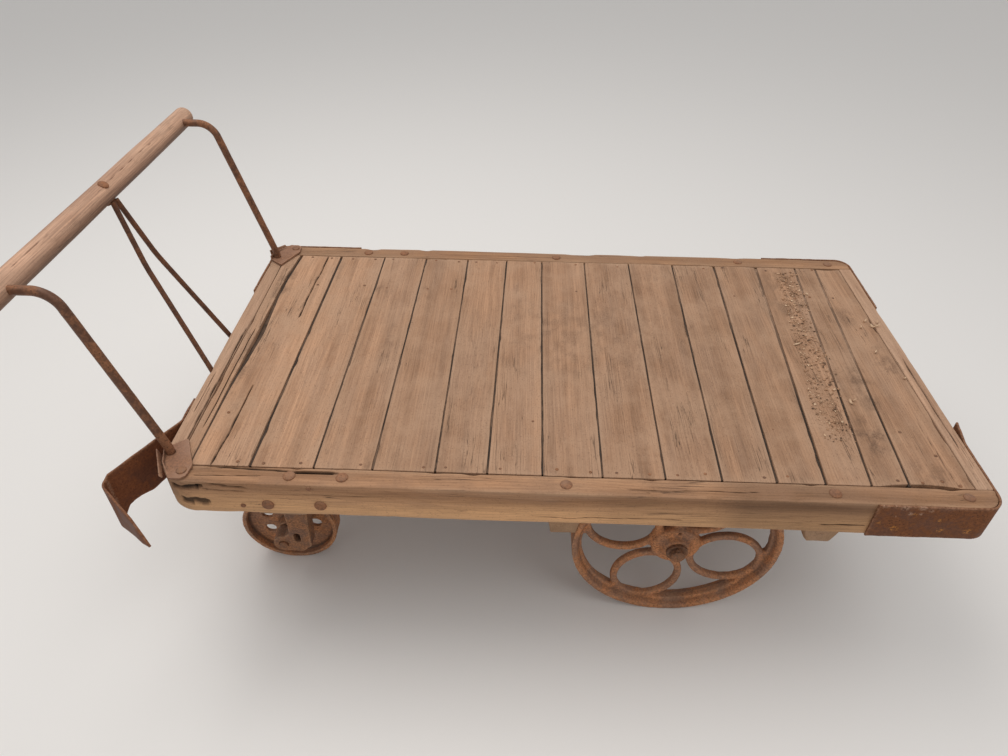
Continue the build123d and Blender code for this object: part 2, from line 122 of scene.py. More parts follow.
def signedVolume(points, faces):
    # six times the volume is the sum of each triangle's corners multiplied out
    total = 0.0
    for group in faces:
        for second in range(1, group.shape[1] - 1):
            a, b, c = points[group[:, 0]], points[group[:, second]], points[group[:, second + 1]]
            total += np.einsum("ij,ij->i", a, np.cross(b, c)).sum()
    return total / 6


def outwards(points, faces):
    # turns the faces round where their volume comes out negative
    if signedVolume(points, faces) < 0:
        faces = [group[:, ::-1] for group in faces]
    return points, faces


def mergeParts(parts):
    # several closed shells, each with its faces outwards, as one set of points and faces
    points, faces, shift = [], [], 0
    for part in parts:
        partPoints, partFaces = outwards(*part)
        points.append(partPoints)
        faces += [group + shift for group in partFaces]
        shift += len(partPoints)
    return np.concatenate(points), faces


def buildMesh(name, points, faces):
    # a mesh from an array of points and arrays of three- or four-cornered faces
    mesh = bpy.data.meshes.new(name)
    loops = np.concatenate([group.reshape(-1) for group in faces]).astype(np.int32)
    counts = np.concatenate([np.full(len(group), group.shape[1]) for group in faces]).astype(np.int32)
    mesh.vertices.add(len(points))
    mesh.vertices.foreach_set("co", points.astype(np.float32).reshape(-1))
    mesh.loops.add(len(loops))
    mesh.loops.foreach_set("vertex_index", loops)
    mesh.polygons.add(len(counts))
    mesh.polygons.foreach_set("loop_start", (np.cumsum(counts) - counts).astype(np.int32))
    mesh.polygons.foreach_set("use_smooth", np.ones(len(counts), bool))
    mesh.update(calc_edges=True)
    return mesh


def addObject(name, data):
    made = bpy.data.objects.new(name, data)
    bpy.context.scene.collection.objects.link(made)
    return made


def makePiece(name, points, faces, material, slot, stands=(), attributes=None, body=truckBody):
    # one mesh object in the shared frame, creased where its faces meet at more than 40 degrees
    mesh = buildMesh(name, points, faces)
    mesh.set_sharp_from_angle(angle=math.radians(40))
    for label, values in (attributes or {}).items():
        kind, key = ("FLOAT_VECTOR", "vector") if values.ndim == 2 else ("FLOAT", "value")
        stored = mesh.attributes.new(label, kind, "POINT")
        stored.data.foreach_set(key, values.astype(np.float32).reshape(-1))
    mesh.materials.append(material)
    piece = addObject(name, mesh)
    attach(piece, body)
    if stands:
        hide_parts(*stands)


def readArray(items, key, width, kind=np.float64):
    # one property of every vertex or loop as an array
    values = np.empty(len(items) * width, kind)
    items.foreach_get(key, values)
    return values.reshape(-1, width) if width > 1 else values


def nodeCorners(name):
    return readArray(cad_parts[name].data.vertices, "co", 3)


def mergedNode(name):
    # a copy of a CAD node's loose triangles in which equal corners are one
    loops = readArray(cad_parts[name].data.loops, "vertex_index", 1, np.int32)
    points, which = np.unique(np.round(nodeCorners(name), 6), axis=0, return_inverse=True)
    triangles = which.reshape(-1)[loops].reshape(-1, 3)
    flat = (triangles == np.roll(triangles, 1, axis=1)).any(axis=1)
    return points, [triangles[~flat]]


# Castings: closed shells fused into one skin of small squares

def fusedSkin(points, faces, voxel):
    # the outer surface of overlapping closed shells, read back from a voxel remesh
    mesh = buildMesh("shells", points, faces)
    holder = addObject("shells", mesh)
    change = holder.modifiers.new("fuse", "REMESH")
    change.mode = "VOXEL"
    change.voxel_size = voxel
    evaluated = holder.evaluated_get(bpy.context.evaluated_depsgraph_get())
    fused = evaluated.to_mesh()
    skin = readArray(fused.vertices, "co", 3)
    corners = readArray(fused.loops, "vertex_index", 1, np.int32)
    evaluated.to_mesh_clear()
    bpy.data.objects.remove(holder)
    bpy.data.meshes.remove(mesh)
    return skin, corners.reshape(-1, 4)


def gathered(values, places, count):
    # rows of values added up at the points that they belong to
    return np.stack([np.bincount(places, values[:, axis], count) for axis in range(3)], axis=1)


def pointNormals(points, quads):
    # each face's two diagonals crossed, added up at its corners
    diagonals = points[quads[:, 2]] - points[quads[:, 0]], points[quads[:, 3]] - points[quads[:, 1]]
    across = np.repeat(np.cross(*diagonals), 4, axis=0)
    total = gathered(across, quads.reshape(-1), len(points))
    return total / np.maximum(np.linalg.norm(total, axis=1, keepdims=True), 1e-12)


def neighbourMean(values, quads):
    # the mean over the points that share an edge with each point
    here = quads.reshape(-1)
    beside = np.roll(quads, -1, axis=1).reshape(-1)
    count = np.maximum(np.bincount(here, minlength=len(values)), 1)
    if values.ndim == 1:
        return np.bincount(here, values[beside], len(values)) / count
    return gathered(values[beside], here, len(values)) / count[:, None]


# what every casting shares: how far a pass fills inner corners, the sand's two grain sizes and
# their shares, the pits, and how sharp a bend counts as an edge or a hollow
foundry = {
    "fill": 0.5, "sandScales": (95, 260), "sandShares": (0.6, 0.4), "pitScale": 60, "pitFrom": 0.35,
    "edgeBend": (0.02, 0.11), "hollowBend": (0.01, 0.08),
}


def castSkin(points, faces, cast, seed):
    # each pass moves a point towards its neighbours' mean: far in inner corners, a little on
    # outer edges, as molten iron rounds them, and noise along the normal leaves the sand's roughness
    points, quads = fusedSkin(points, faces, cast["voxel"])
    for _ in range(cast["passes"]):
        normals = pointNormals(points, quads)
        pull = neighbourMean(points, quads) - points
        lift = np.einsum("ij,ij->i", pull, normals)
        points = points + pull * np.where(lift > 0, foundry["fill"], cast["ease"])[:, None]
    normals = pointNormals(points, quads)
    bend = -np.einsum("ij,ij->i", neighbourMean(points, quads) - points, normals) / cast["voxel"]
    bend = neighbourMean(neighbourMean(bend, quads), quads)
    (coarse, fine), shares = foundry["sandScales"], foundry["sandShares"]
    sand = shares[0] * valueNoise(points * coarse, seed) + shares[1] * valueNoise(points * fine, seed + 1)
    pits = np.clip(valueNoise(points * foundry["pitScale"], seed + 2) - foundry["pitFrom"], 0, 1)
    points = points + normals * ((sand - 1) * cast["rough"] - pits * cast["pits"])[:, None]
    attributes = {"edge": smoothStep(*foundry["edgeBend"], bend),
                  "hollow": smoothStep(*foundry["hollowBend"], -bend)}
    return points, [quads], attributes


# Round bars and paths

def pathReach(path):
    # how far along the path each of its points lies
    return np.concatenate([[0], np.cumsum(np.linalg.norm(np.diff(path, axis=0), axis=1))])


def pathTangent(path):
    tangent = np.gradient(path, axis=0)
    return tangent / np.linalg.norm(tangent, axis=1, keepdims=True)


def roundedPath(corners, radii, step):
    # straight runs joined by arcs that touch both, with points at an even spacing
    corners = np.array(corners, float)
    line = [corners[0]]
    for before, corner, after, radius in zip(corners, corners[1:], corners[2:], radii):
        back = (before - corner) / np.linalg.norm(before - corner)
        ahead = (after - corner) / np.linalg.norm(after - corner)
        half = math.acos(np.clip(back @ ahead, -1, 1)) / 2
        middle = corner + (back + ahead) / np.linalg.norm(back + ahead) * radius / math.sin(half)
        first = corner + back * radius / math.tan(half) - middle
        last = corner + ahead * radius / math.tan(half) - middle
        turn = math.pi - 2 * half
        share = np.linspace(0, 1, 24)[:, None]
        arc = np.sin((1 - share) * turn) * first + np.sin(share * turn) * last
        line += list(middle + arc / math.sin(turn))
    line = np.array(line + [corners[-1]])
    reach = pathReach(line)
    places = np.linspace(0, reach[-1], int(reach[-1] / step) + 2)
    return np.stack([np.interp(places, reach, line[:, axis]) for axis in range(line.shape[1])], axis=1)


def carryRound(path, radius, around, flatten=1.0):
    # circles square to a path that runs in or near the XZ plane; the two ends close at poles
    tangent = pathTangent(path)
    side = np.cross(tangent, (0.0, 1.0, 0.0))
    side /= np.linalg.norm(side, axis=1, keepdims=True)
    other = np.cross(tangent, side)
    lap = np.linspace(0, math.tau, around, endpoint=False)[None, :, None]
    radius = np.broadcast_to(radius, (len(path), around))[:, :, None]
    return path[:, None] + radius * (np.cos(lap) * side[:, None] + flatten * np.sin(lap) * other[:, None])


def turnedRing(profile, count):
    # a closed profile, radius and place along the axle, turned once round the Y axis
    turn = np.linspace(0, math.tau, count, endpoint=False)[:, None]
    radius, along = profile[None, :, 0], profile[None, :, 1]
    grid = np.stack([radius * np.cos(turn), along + 0 * turn, radius * np.sin(turn)], axis=-1)
    return grid.reshape(-1, 3), [gridFaces(count, len(profile), closeRows=True)]


print("frame loaded, floor at", round(floorHeight, 4))


# Shader building

def addNode(tree, kind, settings=None, inputs=None):
    # an input that is a socket is linked, anything else is set on the node as a constant
    made = tree.nodes.new(kind)
    for key, value in (settings or {}).items():
        setattr(made, key, value)
    for key, value in (inputs or {}).items():
        if isinstance(value, bpy.types.NodeSocket):
            tree.links.new(value, made.inputs[key])
        else:
            made.inputs[key].default_value = value
    return made


def mathNode(tree, operation, *values):
    return addNode(tree, "ShaderNodeMath", {"operation": operation}, dict(enumerate(values))).outputs[0]


def multiply(tree, first, second):
    return mathNode(tree, "MULTIPLY", first, second)


def multiplyAdd(tree, value, factor, added):
    return mathNode(tree, "MULTIPLY_ADD", value, factor, added)


def mixColors(tree, factor, first, second, blend="MIX"):
    settings = {"data_type": "RGBA", "blend_type": blend}
    return addNode(tree, "ShaderNodeMix", settings, {0: factor, 6: first, 7: second}).outputs[2]


def remap(tree, value, low, high, toLow=0.0, toHigh=1.0):
    inputs = {0: value, 1: low, 2: high, 3: toLow, 4: toHigh}
    return addNode(tree, "ShaderNodeMapRange", {"interpolation_type": "SMOOTHSTEP"}, inputs).outputs[0]


def noiseTexture(tree, vector, scale, detail, roughness, distortion=0.0):
    inputs = {"Vector": vector, "Scale": scale, "Detail": detail, "Roughness": roughness,
              "Distortion": distortion}
    return addNode(tree, "ShaderNodeTexNoise", {}, inputs).outputs["Fac"]


def stretchedNoise(tree, vector, along, across, detail=3.0, roughness=0.55, distortion=0.0):
    # noise with one scale along the first axis and another across it
    inputs = {0: vector, 1: (along, across, across)}
    scaled = addNode(tree, "ShaderNodeVectorMath", {"operation": "MULTIPLY"}, inputs).outputs[0]
    return noiseTexture(tree, scaled, 1.0, detail, roughness, distortion)


def storedValue(tree, name, output="Fac"):
    # a value that a piece stores at its points, or zero where it stores none
    return addNode(tree, "ShaderNodeAttribute", {"attribute_name": name}).outputs[output]


def objectPlace(tree):
    return addNode(tree, "ShaderNodeTexCoord").outputs["Object"]


def layer(tree, base, color, mask, share=1.0):
    # a colour laid over another where a mask, times its share, lets it
    factor = mask if share == 1.0 else multiply(tree, mask, share)
    return mixColors(tree, factor, base, color)


def scaleByValue(tree, color, value):
    # a colour times one value for its three parts
    grey = addNode(tree, "ShaderNodeCombineXYZ", {}, {0: value, 1: value, 2: value}).outputs[0]
    return mixColors(tree, 1.0, color, grey, "MULTIPLY")


def newGroup(name, inputs, outputs):
    # an empty shader group; each input has its kind of socket, or the value that a number starts at
    group = bpy.data.node_groups.new(name, "ShaderNodeTree")
    for label, given in inputs.items():
        kind = given if isinstance(given, str) else "Float"
        socket = group.interface.new_socket(label, in_out="INPUT", socket_type=f"NodeSocket{kind}")
        if kind != given:
            socket.default_value = given
    for label, kind in outputs.items():
        group.interface.new_socket(label, in_out="OUTPUT", socket_type=f"NodeSocket{kind}")
    return group, group.nodes.new("NodeGroupInput").outputs, group.nodes.new("NodeGroupOutput").inputs


def linkAll(tree, sockets, values):
    for label, value in values.items():
        tree.links.new(value, sockets[label])


def buildGrainGroup():
    # growth rings round a pith line below the board, fine fibres, broad streaks and drying
    # checks along the grain
    group, given, result = newGroup(
        "woodGrain",
        {"Vector": "Vector", "Ring Spacing": 0.006, "Pith Depth": 0.06, "Checks": 0.5},
        dict.fromkeys(("Rings", "Fibres", "Streaks", "Checks", "Height"), "Float"),
    )
    vector = given["Vector"]
    wander = stretchedNoise(group, vector, 1.6, 7.0, detail=2.0)
    shift = multiplyAdd(group, wander, 0.10, -0.05)
    parts = addNode(group, "ShaderNodeSeparateXYZ", {}, {0: vector}).outputs
    across = mathNode(group, "ADD", parts[1], shift)
    depth = mathNode(group, "ADD", parts[2], given["Pith Depth"])
    depth = multiplyAdd(group, shift, 0.6, depth)
    # the distance from the pith counted in rings, a little ragged; its fraction is the place in a ring
    squares = mathNode(group, "ADD", multiply(group, across, across), multiply(group, depth, depth))
    turns = mathNode(group, "DIVIDE", mathNode(group, "SQRT", squares), given["Ring Spacing"])
    ragged = stretchedNoise(group, vector, 9.0, 120.0)
    saw = mathNode(group, "FRACT", multiplyAdd(group, ragged, 0.9, turns))
    # early wood rises slowly, late wood ends in a sharp dark line
    ring = multiply(group, mathNode(group, "POWER", saw, 2.6), remap(group, saw, 1.0, 0.86))
    fibres = stretchedNoise(group, vector, 9.0, 460.0, detail=4.0, roughness=0.65)
    streaks = stretchedNoise(group, vector, 1.1, 34.0, detail=5.0, roughness=0.6)
    # a check follows the line where a noise passes its middle value, in places that another picks
    lines = stretchedNoise(group, vector, 3.4, 120.0, detail=2.0, roughness=0.5, distortion=0.2)
    narrow = mathNode(group, "ABSOLUTE", mathNode(group, "SUBTRACT", lines, 0.5))
    where = remap(group, stretchedNoise(group, vector, 4.5, 22.0, detail=1.0), 0.54, 0.66)
    checks = multiply(group, multiply(group, remap(group, narrow, 0.014, 0.0), where), given["Checks"])
    height = multiplyAdd(group, ring, -0.25, multiply(group, fibres, 0.55))
    height = mathNode(group, "SUBTRACT", height, multiply(group, checks, 1.2))
    linkAll(group, result, {"Rings": ring, "Fibres": fibres, "Streaks": streaks, "Checks": checks,
                            "Height": height})
    return group


def buildRustGroup():
    # broad rust patches, a sandy speckle and small pits
    group, given, result = newGroup(
        "rustCoat",
        {"Vector": "Vector", "Patch Scale": 14.0, "Speckle Scale": 160.0},
        dict.fromkeys(("Patches", "Speckle", "Pits", "Height"), "Float"),
    )
    vector = given["Vector"]
    broad = noiseTexture(group, vector, given["Patch Scale"], 6.0, 0.62, 0.4)
    fine = noiseTexture(group, vector, given["Speckle Scale"], 4.0, 0.7)
    patches = remap(group, multiplyAdd(group, fine, 0.35, broad), 0.56, 0.80)
    inputs = {"Vector": vector, "Scale": given["Speckle Scale"], "Smoothness": 0.4}
    cells = addNode(group, "ShaderNodeTexVoronoi", {"feature": "SMOOTH_F1"}, inputs).outputs["Distance"]
    pits = multiply(group, remap(group, cells, 0.32, 0.12), remap(group, broad, 0.45, 0.6))
    height = multiplyAdd(group, broad, 0.6, multiply(group, fine, 0.4))
    height = multiplyAdd(group, pits, -0.35, height)
    linkAll(group, result, {"Patches": patches, "Speckle": fine, "Pits": pits, "Height": height})
    return group


def buildDustGroup():
    # pale dust and ground dirt that lie on what faces up, thicker in blotches
    group, given, result = newGroup(
        "dustFilm",
        {"Color": "Color", "Vector": "Vector", "Dust": "Color", "Amount": 0.3, "Scale": 9.0},
        {"Color": "Color"},
    )
    facing = addNode(group, "ShaderNodeTexCoord").outputs["Normal"]
    up = addNode(group, "ShaderNodeSeparateXYZ", {}, {0: facing}).outputs[2]
    blotch = noiseTexture(group, given["Vector"], given["Scale"], 5.0, 0.65)
    mask = multiply(group, remap(group, up, 0.2, 0.95), remap(group, blotch, 0.35, 0.75))
    mask = multiply(group, mask, given["Amount"])
    linkAll(group, result, {"Color": layer(group, given["Color"], given["Dust"], mask)})
    return group


grainGroup = buildGrainGroup()
rustGroup = buildRustGroup()
dustGroup = buildDustGroup()


def groupOutputs(tree, group, inputs):
    return addNode(tree, "ShaderNodeGroup", {"node_tree": group}, inputs).outputs


def newMaterial(name):
    material = bpy.data.materials.new(name)
    material.use_nodes = True
    tree = material.node_tree
    return material, tree, tree.nodes["Principled BSDF"].inputs


def rgba(color):
    return (*color, 1.0)


def rgbaLook(look):
    # the look with a fourth part, full cover, on each of its colours
    return {key: rgba(value) if isinstance(value, tuple) else value for key, value in look.items()}


def finishShader(tree, shader, color, roughness, height, strength, bumpHeight=0.0012, specular=0.3):
    # the colour, roughness and bump of a material into its shader
    inputs = {"Strength": strength, "Distance": bumpHeight, "Height": height}
    bump = addNode(tree, "ShaderNodeBump", {}, inputs).outputs[0]
    linkAll(tree, shader, {"Base Color": color, "Roughness": roughness, "Normal": bump})
    shader["Specular IOR Level"].default_value = specular


def timberMaterial(name, look):
    # weathered timber that reads the grain, crack, edge, soil and tone values stored on each piece
    look = rgbaLook(look)
    material, tree, shader = newMaterial(name)
    vector = storedValue(tree, "grain", "Vector")
    grain = groupOutputs(tree, grainGroup, {
        "Vector": vector, "Ring Spacing": look["ringSpacing"], "Pith Depth": look["pithDepth"],
        "Checks": look["checks"],
    })
    weather = stretchedNoise(tree, vector, 3.0, 11.0, detail=5.0, roughness=0.62)
    base = layer(tree, look["dark"], look["light"], remap(tree, grain["Streaks"], 0.30, 0.72))
    base = layer(tree, base, look["grey"], remap(tree, weather, 0.42, 0.66), look["greying"])
    base = layer(tree, base, look["lateWood"], grain["Rings"], look["ringContrast"])
    if "warm" in look:
        # the lower part of the sides, which hands and weather have greyed less
        height = addNode(tree, "ShaderNodeSeparateXYZ", {}, {0: objectPlace(tree)}).outputs[2]
        height = multiplyAdd(tree, weather, look["warmWander"], height)
        warmth = remap(tree, height, look["warmTop"], look["warmBottom"], 0.0, look["warmAmount"])
        base = layer(tree, base, look["warm"], warmth)
    contrast = look["fibreContrast"]
    fibreTone = remap(tree, grain["Fibres"], 0.25, 0.75, 1.0 - contrast, 1.0 + contrast)
    # the stored tone scales the colour; on the near sill and the crossbar it also holds painted shade and
    # painted light
    base = scaleByValue(tree, base, multiply(tree, fibreTone, storedValue(tree, "tone")))
    wear = remap(tree, weather, 0.35, 0.6, 0.15, look["edgeWear"])
    base = layer(tree, base, look["edge"], storedValue(tree, "edge"), wear)
    stain = stretchedNoise(tree, vector, 5.0, 16.0, detail=6.0, roughness=0.7)
    base = layer(tree, base, look["stain"], remap(tree, stain, 0.60, 0.72), look["stains"])
    base = groupOutputs(tree, dustGroup, {
        "Color": base, "Vector": vector, "Dust": look["dust"], "Amount": look["dustAmount"], "Scale": 10.0,
    })["Color"]
    # ground-in grit: small dark and pale specks, and darker soil where the piece stores it
    grit = stretchedNoise(tree, vector, 210.0, 330.0, roughness=0.7)
    base = layer(tree, base, look["gritDark"], remap(tree, grit, 0.56, 0.68), look["grit"])
    base = layer(tree, base, look["gritPale"], remap(tree, grit, 0.40, 0.30), look["grit"] * 0.6)
    broken = remap(tree, grit, 0.30, 0.62, 0.35, 1.0)
    base = layer(tree, base, look["stain"], storedValue(tree, "soil"), broken)
    cracked = mathNode(tree, "MAXIMUM", storedValue(tree, "crack"), multiply(tree, grain["Checks"], 0.85))
    base = layer(tree, base, look["crack"], cracked)
    roughness = remap(tree, grain["Streaks"], 0.2, 0.8, look["roughness"] - 0.08, look["roughness"] + 0.08)
    height = multiplyAdd(tree, weather, 0.4, grain["Height"])
    finishShader(tree, shader, base, roughness, height, look["bump"])
    return material


def ironMaterial(name, look):
    # rusted iron on Object coordinates: dark skin, orange bloom, pits, rubbed edges and dirt in
    # the corners
    look = rgbaLook(look)
    material, tree, shader = newMaterial(name)
    place = objectPlace(tree)
    rust = groupOutputs(tree, rustGroup, {
        "Vector": place, "Patch Scale": look["patchScale"], "Speckle Scale": look["speckleScale"],
    })
    sandy = rust["Speckle"]
    base = layer(tree, look["skin"], look["bloom"], rust["Patches"], look["bloomAmount"])
    contrast = look["speckle"]
    base = scaleByValue(tree, base, remap(tree, sandy, 0.30, 0.70, 1.0 - contrast, 1.0 + contrast))
    base = layer(tree, base, look["pit"], rust["Pits"], 0.7)
    wear = remap(tree, sandy, 0.4, 0.6, 0.1, look["edgeWear"])
    base = layer(tree, base, look["rubbed"], storedValue(tree, "edge"), wear)
    base = layer(tree, base, look["pit"], storedValue(tree, "hollow"), 0.75)
    base = groupOutputs(tree, dustGroup, {
        "Color": base, "Vector": place, "Dust": look["dust"], "Amount": look["dustAmount"], "Scale": 14.0,
    })["Color"]
    for mark, low, high, color in (("stain", 0.42, 0.60, "ochre"), ("scrape", 0.38, 0.56, "scraped")):
        base = layer(tree, base, look[color], storedValue(tree, mark), remap(tree, sandy, low, high))
    roughness = remap(tree, rust["Patches"], 0.0, 1.0, look["smoothest"], look["roughest"])
    finishShader(tree, shader, base, roughness, rust["Height"], look["bump"])
    shader["Metallic"].default_value = look["metallic"]
    return material


def crumbMaterial(name, look):
    # loose grit, torn wood, or dirt in the deck joints that also serves as painted shade: dark to pale by
    # the tone stored on it
    look = rgbaLook(look)
    material, tree, shader = newMaterial(name)
    speckle = stretchedNoise(tree, objectPlace(tree), 400.0, 400.0, detail=2.0)
    tone = multiplyAdd(tree, speckle, 0.5, mathNode(tree, "SUBTRACT", storedValue(tree, "tone"), 0.25))
    base = layer(tree, look["dark"], look["middle"], remap(tree, tone, 0.0, 0.6))
    base = layer(tree, base, look["pale"], remap(tree, tone, 0.6, 1.0))
    roughness = remap(tree, speckle, 0.3, 0.7, 0.75, 0.95)
    finishShader(tree, shader, base, roughness, speckle, 0.5, bumpHeight=0.0006, specular=0.5)
    return material


deckLook = {
    "dark": (0.250, 0.136, 0.077), "light": (0.420, 0.240, 0.143), "grey": (0.345, 0.210, 0.135),
    "greying": 0.75, "lateWood": (0.180, 0.092, 0.050), "ringContrast": 0.30, "fibreContrast": 0.20,
    "ringSpacing": 0.006, "pithDepth": 0.055, "checks": 0.75, "edge": (0.46, 0.30, 0.20),
    "edgeWear": 0.45, "stain": (0.120, 0.068, 0.042), "stains": 0.50, "dust": (0.43, 0.268, 0.172),
    "dustAmount": 0.65, "crack": (0.022, 0.013, 0.008), "bump": 0.8, "roughness": 0.78, "grit": 0.40,
    "gritDark": (0.085, 0.048, 0.030), "gritPale": (0.52, 0.37, 0.26),
}
sillLook = dict(
    deckLook, dark=(0.230, 0.112, 0.052), light=(0.470, 0.258, 0.142), grey=(0.300, 0.175, 0.105),
    greying=0.7, lateWood=(0.180, 0.084, 0.040), ringContrast=0.40, ringSpacing=0.007, pithDepth=0.08,
    checks=0.8, edge=(0.46, 0.29, 0.18), edgeWear=0.5, stain=(0.085, 0.045, 0.024), stains=0.55,
    dust=(0.270, 0.150, 0.088), dustAmount=0.85, crack=(0.020, 0.011, 0.007), roughness=0.74, grit=0.30,
    gritDark=(0.080, 0.044, 0.026), gritPale=(0.45, 0.30, 0.19), warm=(0.640, 0.365, 0.180),
    warmTop=0.022, warmBottom=-0.045, warmAmount=0.75, warmWander=0.07,
)
railLook = dict(
    deckLook, dark=(0.300, 0.170, 0.105), light=(0.560, 0.345, 0.225), grey=(0.46, 0.295, 0.20), checks=0.8,
)
underLook = dict(
    sillLook, dark=(0.19, 0.108, 0.060), light=(0.36, 0.225, 0.135), dustAmount=0.15, warmAmount=0.2,
)
barLook = dict(
    deckLook, dark=(0.250, 0.132, 0.082), light=(0.520, 0.318, 0.215), grey=(0.440, 0.275, 0.190),
    checks=0.5, ringSpacing=0.004, pithDepth=0.03, roughness=0.62, dust=(0.56, 0.37, 0.26),
    dustAmount=0.35, grit=0.25, stains=0.35, fibreContrast=0.30,
)
bandLook = {
    "skin": (0.132, 0.046, 0.018), "bloom": (0.205, 0.075, 0.027), "pit": (0.030, 0.014, 0.008),
    "rubbed": (0.34, 0.19, 0.115), "edgeWear": 0.6, "patchScale": 15.0, "speckleScale": 190.0,
    "bloomAmount": 0.75, "speckle": 0.20, "dust": (0.33, 0.18, 0.10), "dustAmount": 0.15, "bump": 0.6,
    "metallic": 0.1, "smoothest": 0.60, "roughest": 0.88, "ochre": (0.42, 0.17, 0.035),
    "scraped": (0.34, 0.20, 0.13),
}
tornLook = dict(
    bandLook, skin=(0.112, 0.035, 0.014), bloom=(0.200, 0.066, 0.024), rubbed=(0.30, 0.15, 0.085),
)
socketLook = dict(
    bandLook, skin=(0.240, 0.118, 0.070), bloom=(0.320, 0.160, 0.088), dust=(0.360, 0.215, 0.145),
    dustAmount=0.7, rubbed=(0.42, 0.26, 0.18),
)
wheelLook = dict(
    bandLook, skin=(0.275, 0.140, 0.083), bloom=(0.540, 0.228, 0.094), rubbed=(0.48, 0.27, 0.15),
    dust=(0.370, 0.235, 0.155), dustAmount=0.5, bump=0.8, speckle=0.28,
)
casterLook = dict(
    wheelLook, skin=(0.175, 0.092, 0.058), bloom=(0.370, 0.170, 0.080), dust=(0.32, 0.215, 0.15),
)
rodLook = dict(
    bandLook, skin=(0.125, 0.058, 0.034), bloom=(0.290, 0.130, 0.065), patchScale=24.0, metallic=0.2,
    smoothest=0.42, roughest=0.75, edgeWear=0.3,
)
braceLook = dict(rodLook, skin=(0.090, 0.038, 0.021), bloom=(0.190, 0.078, 0.038))
steelLook = dict(bandLook, skin=(0.150, 0.080, 0.050), bloom=(0.340, 0.160, 0.080), metallic=0.2)
boltLook = dict(
    bandLook, skin=(0.180, 0.085, 0.048), bloom=(0.300, 0.135, 0.068), dust=(0.36, 0.22, 0.14),
    dustAmount=0.6,
)
crumbLook = {"dark": (0.090, 0.048, 0.027), "middle": (0.400, 0.225, 0.125), "pale": (0.700, 0.510, 0.340)}
# the joint fill's colours: packed dirt, darkest where it stands for painted shade between the boards
dirtAndShadeLook = {"dark": (0.030, 0.018, 0.011), "middle": (0.150, 0.088, 0.054), "pale": (0.300, 0.185, 0.120)}

deckWood = timberMaterial("deckWood", deckLook)
railWood = timberMaterial("railWood", railLook)
sillWood = timberMaterial("sillWood", sillLook)
underWood = timberMaterial("underWood", underLook)
barWood = timberMaterial("barWood", barLook)
bandIron = ironMaterial("bandIron", bandLook)
tornIron = ironMaterial("tornIron", tornLook)
socketIron = ironMaterial("socketIron", socketLook)
wheelIron = ironMaterial("wheelIron", wheelLook)
casterIron = ironMaterial("casterIron", casterLook)
rodIron = ironMaterial("rodIron", rodLook)
braceIron = ironMaterial("braceIron", braceLook)
axleSteel = ironMaterial("axleSteel", steelLook)
boltIron = ironMaterial("boltIron", boltLook)
looseCrumbs = crumbMaterial("looseCrumbs", crumbLook)
packedDirtAndShade = crumbMaterial("packedDirtAndShade", dirtAndShadeLook)

print("materials made")


# Timbers: a rectangle with round corners carried along the grain, weathered and split

# ground-in dirt on top of the deck: each spot's middle, half its size, how strong
soilSpots = [
    ((0.590, 0.230), (0.075, 0.230), 0.55), ((0.719, 0.170), (0.040, 0.060), 0.50),
    ((0.752, -0.020), (0.035, 0.100), 0.60), ((0.668, -0.115), (0.045, 0.120), 0.65),
    ((0.625, -0.270), (0.045, 0.075), 0.80), ((0.700, -0.370), (0.050, 0.060), 0.40),
    ((-0.745, 0.230), (0.035, 0.200), 0.55), ((-0.748, -0.080), (0.030, 0.180), 0.50),
    ((0.020, 0.050), (0.300, 0.260), 0.30),
]
# what all timbers share: noise scales along and across the grain, how far chips and rubbed edges
# reach in from the long edges and from the ends, and how a split wanders, tears and tapers
weathering = {
    "broadScale": (5, 22, 22), "rippleScale": (11, 260, 260), "chipScale": (26, 40, 40), "chipFrom": 0.1,
    "chipReach": 0.004, "edgeReach": 0.005, "endReach": 0.006, "soilScales": (45, 140), "soilBelow": -0.006,
    "wanderScale": 22, "tornScales": (110, 190), "splitEnd": 0.35, "splitFade": 0.3,
    "splitFacing": (0.5, 0.9),
}


def soilAmount(world):
    # each spot fades evenly from its middle and breaks up with noise; the sides stay clean
    total = np.zeros(len(world))
    for middle, half, amount in soilSpots:
        away = np.hypot((world[:, 0] - middle[0]) / half[0], (world[:, 1] - middle[1]) / half[1])
        total = np.maximum(total, amount * smoothStep(1.0, 0.25, away))
    coarse, fine = weathering["soilScales"]
    broken = valueNoise(world * coarse, 7) + 0.6 * valueNoise(world * fine, 8)
    return total * smoothStep(-0.5, 0.5, broken) * (world[:, 2] > weathering["soilBelow"])


def sectionLoop(counts, cornerCount):
    # once round the section: where a point sits between the four corners, and which way it looks
    signs = np.array([[1, 1], [-1, 1], [-1, -1], [1, -1]], float)
    place, facing = [], []
    for corner in range(4):
        angle = (corner + np.linspace(0, 1, cornerCount)) * np.pi / 2
        place.append(np.repeat(signs[corner:corner + 1], cornerCount, axis=0))
        facing.append(np.stack([np.cos(angle), np.sin(angle)], axis=1))
        share = np.linspace(0, 1, counts[corner] + 2)[1:-1, None]
        place.append(signs[corner] + (signs[(corner + 1) % 4] - signs[corner]) * share)
        facing.append(np.repeat(facing[-1][-1:], counts[corner], axis=0))
    return np.concatenate(place), np.concatenate(facing)


def timberRings(start, end, step, edge):
    # where each ring lies, how far its outline draws in, and how much it shrinks: a round edge
    # and a flat end
    arc = np.linspace(0, np.pi / 2, 4)
    capShrink = np.array([0.25, 0.6])
    capPlace = np.zeros(len(capShrink))
    body = np.linspace(start + edge, end - edge, max(3, int((end - start) / step)))[1:-1]
    near = np.concatenate([capPlace, edge * (1 - np.cos(arc))])
    inset = np.concatenate([capPlace + edge, edge * (1 - np.sin(arc))])
    shrink = np.concatenate([capShrink, np.ones(len(arc))])
    places = np.concatenate([start + near, body, (end - near)[::-1]])
    insets = np.concatenate([inset, np.zeros(len(body)), inset[::-1]])
    shrinks = np.concatenate([shrink, np.ones(len(body)), shrink[::-1]])
    return places, insets, shrinks


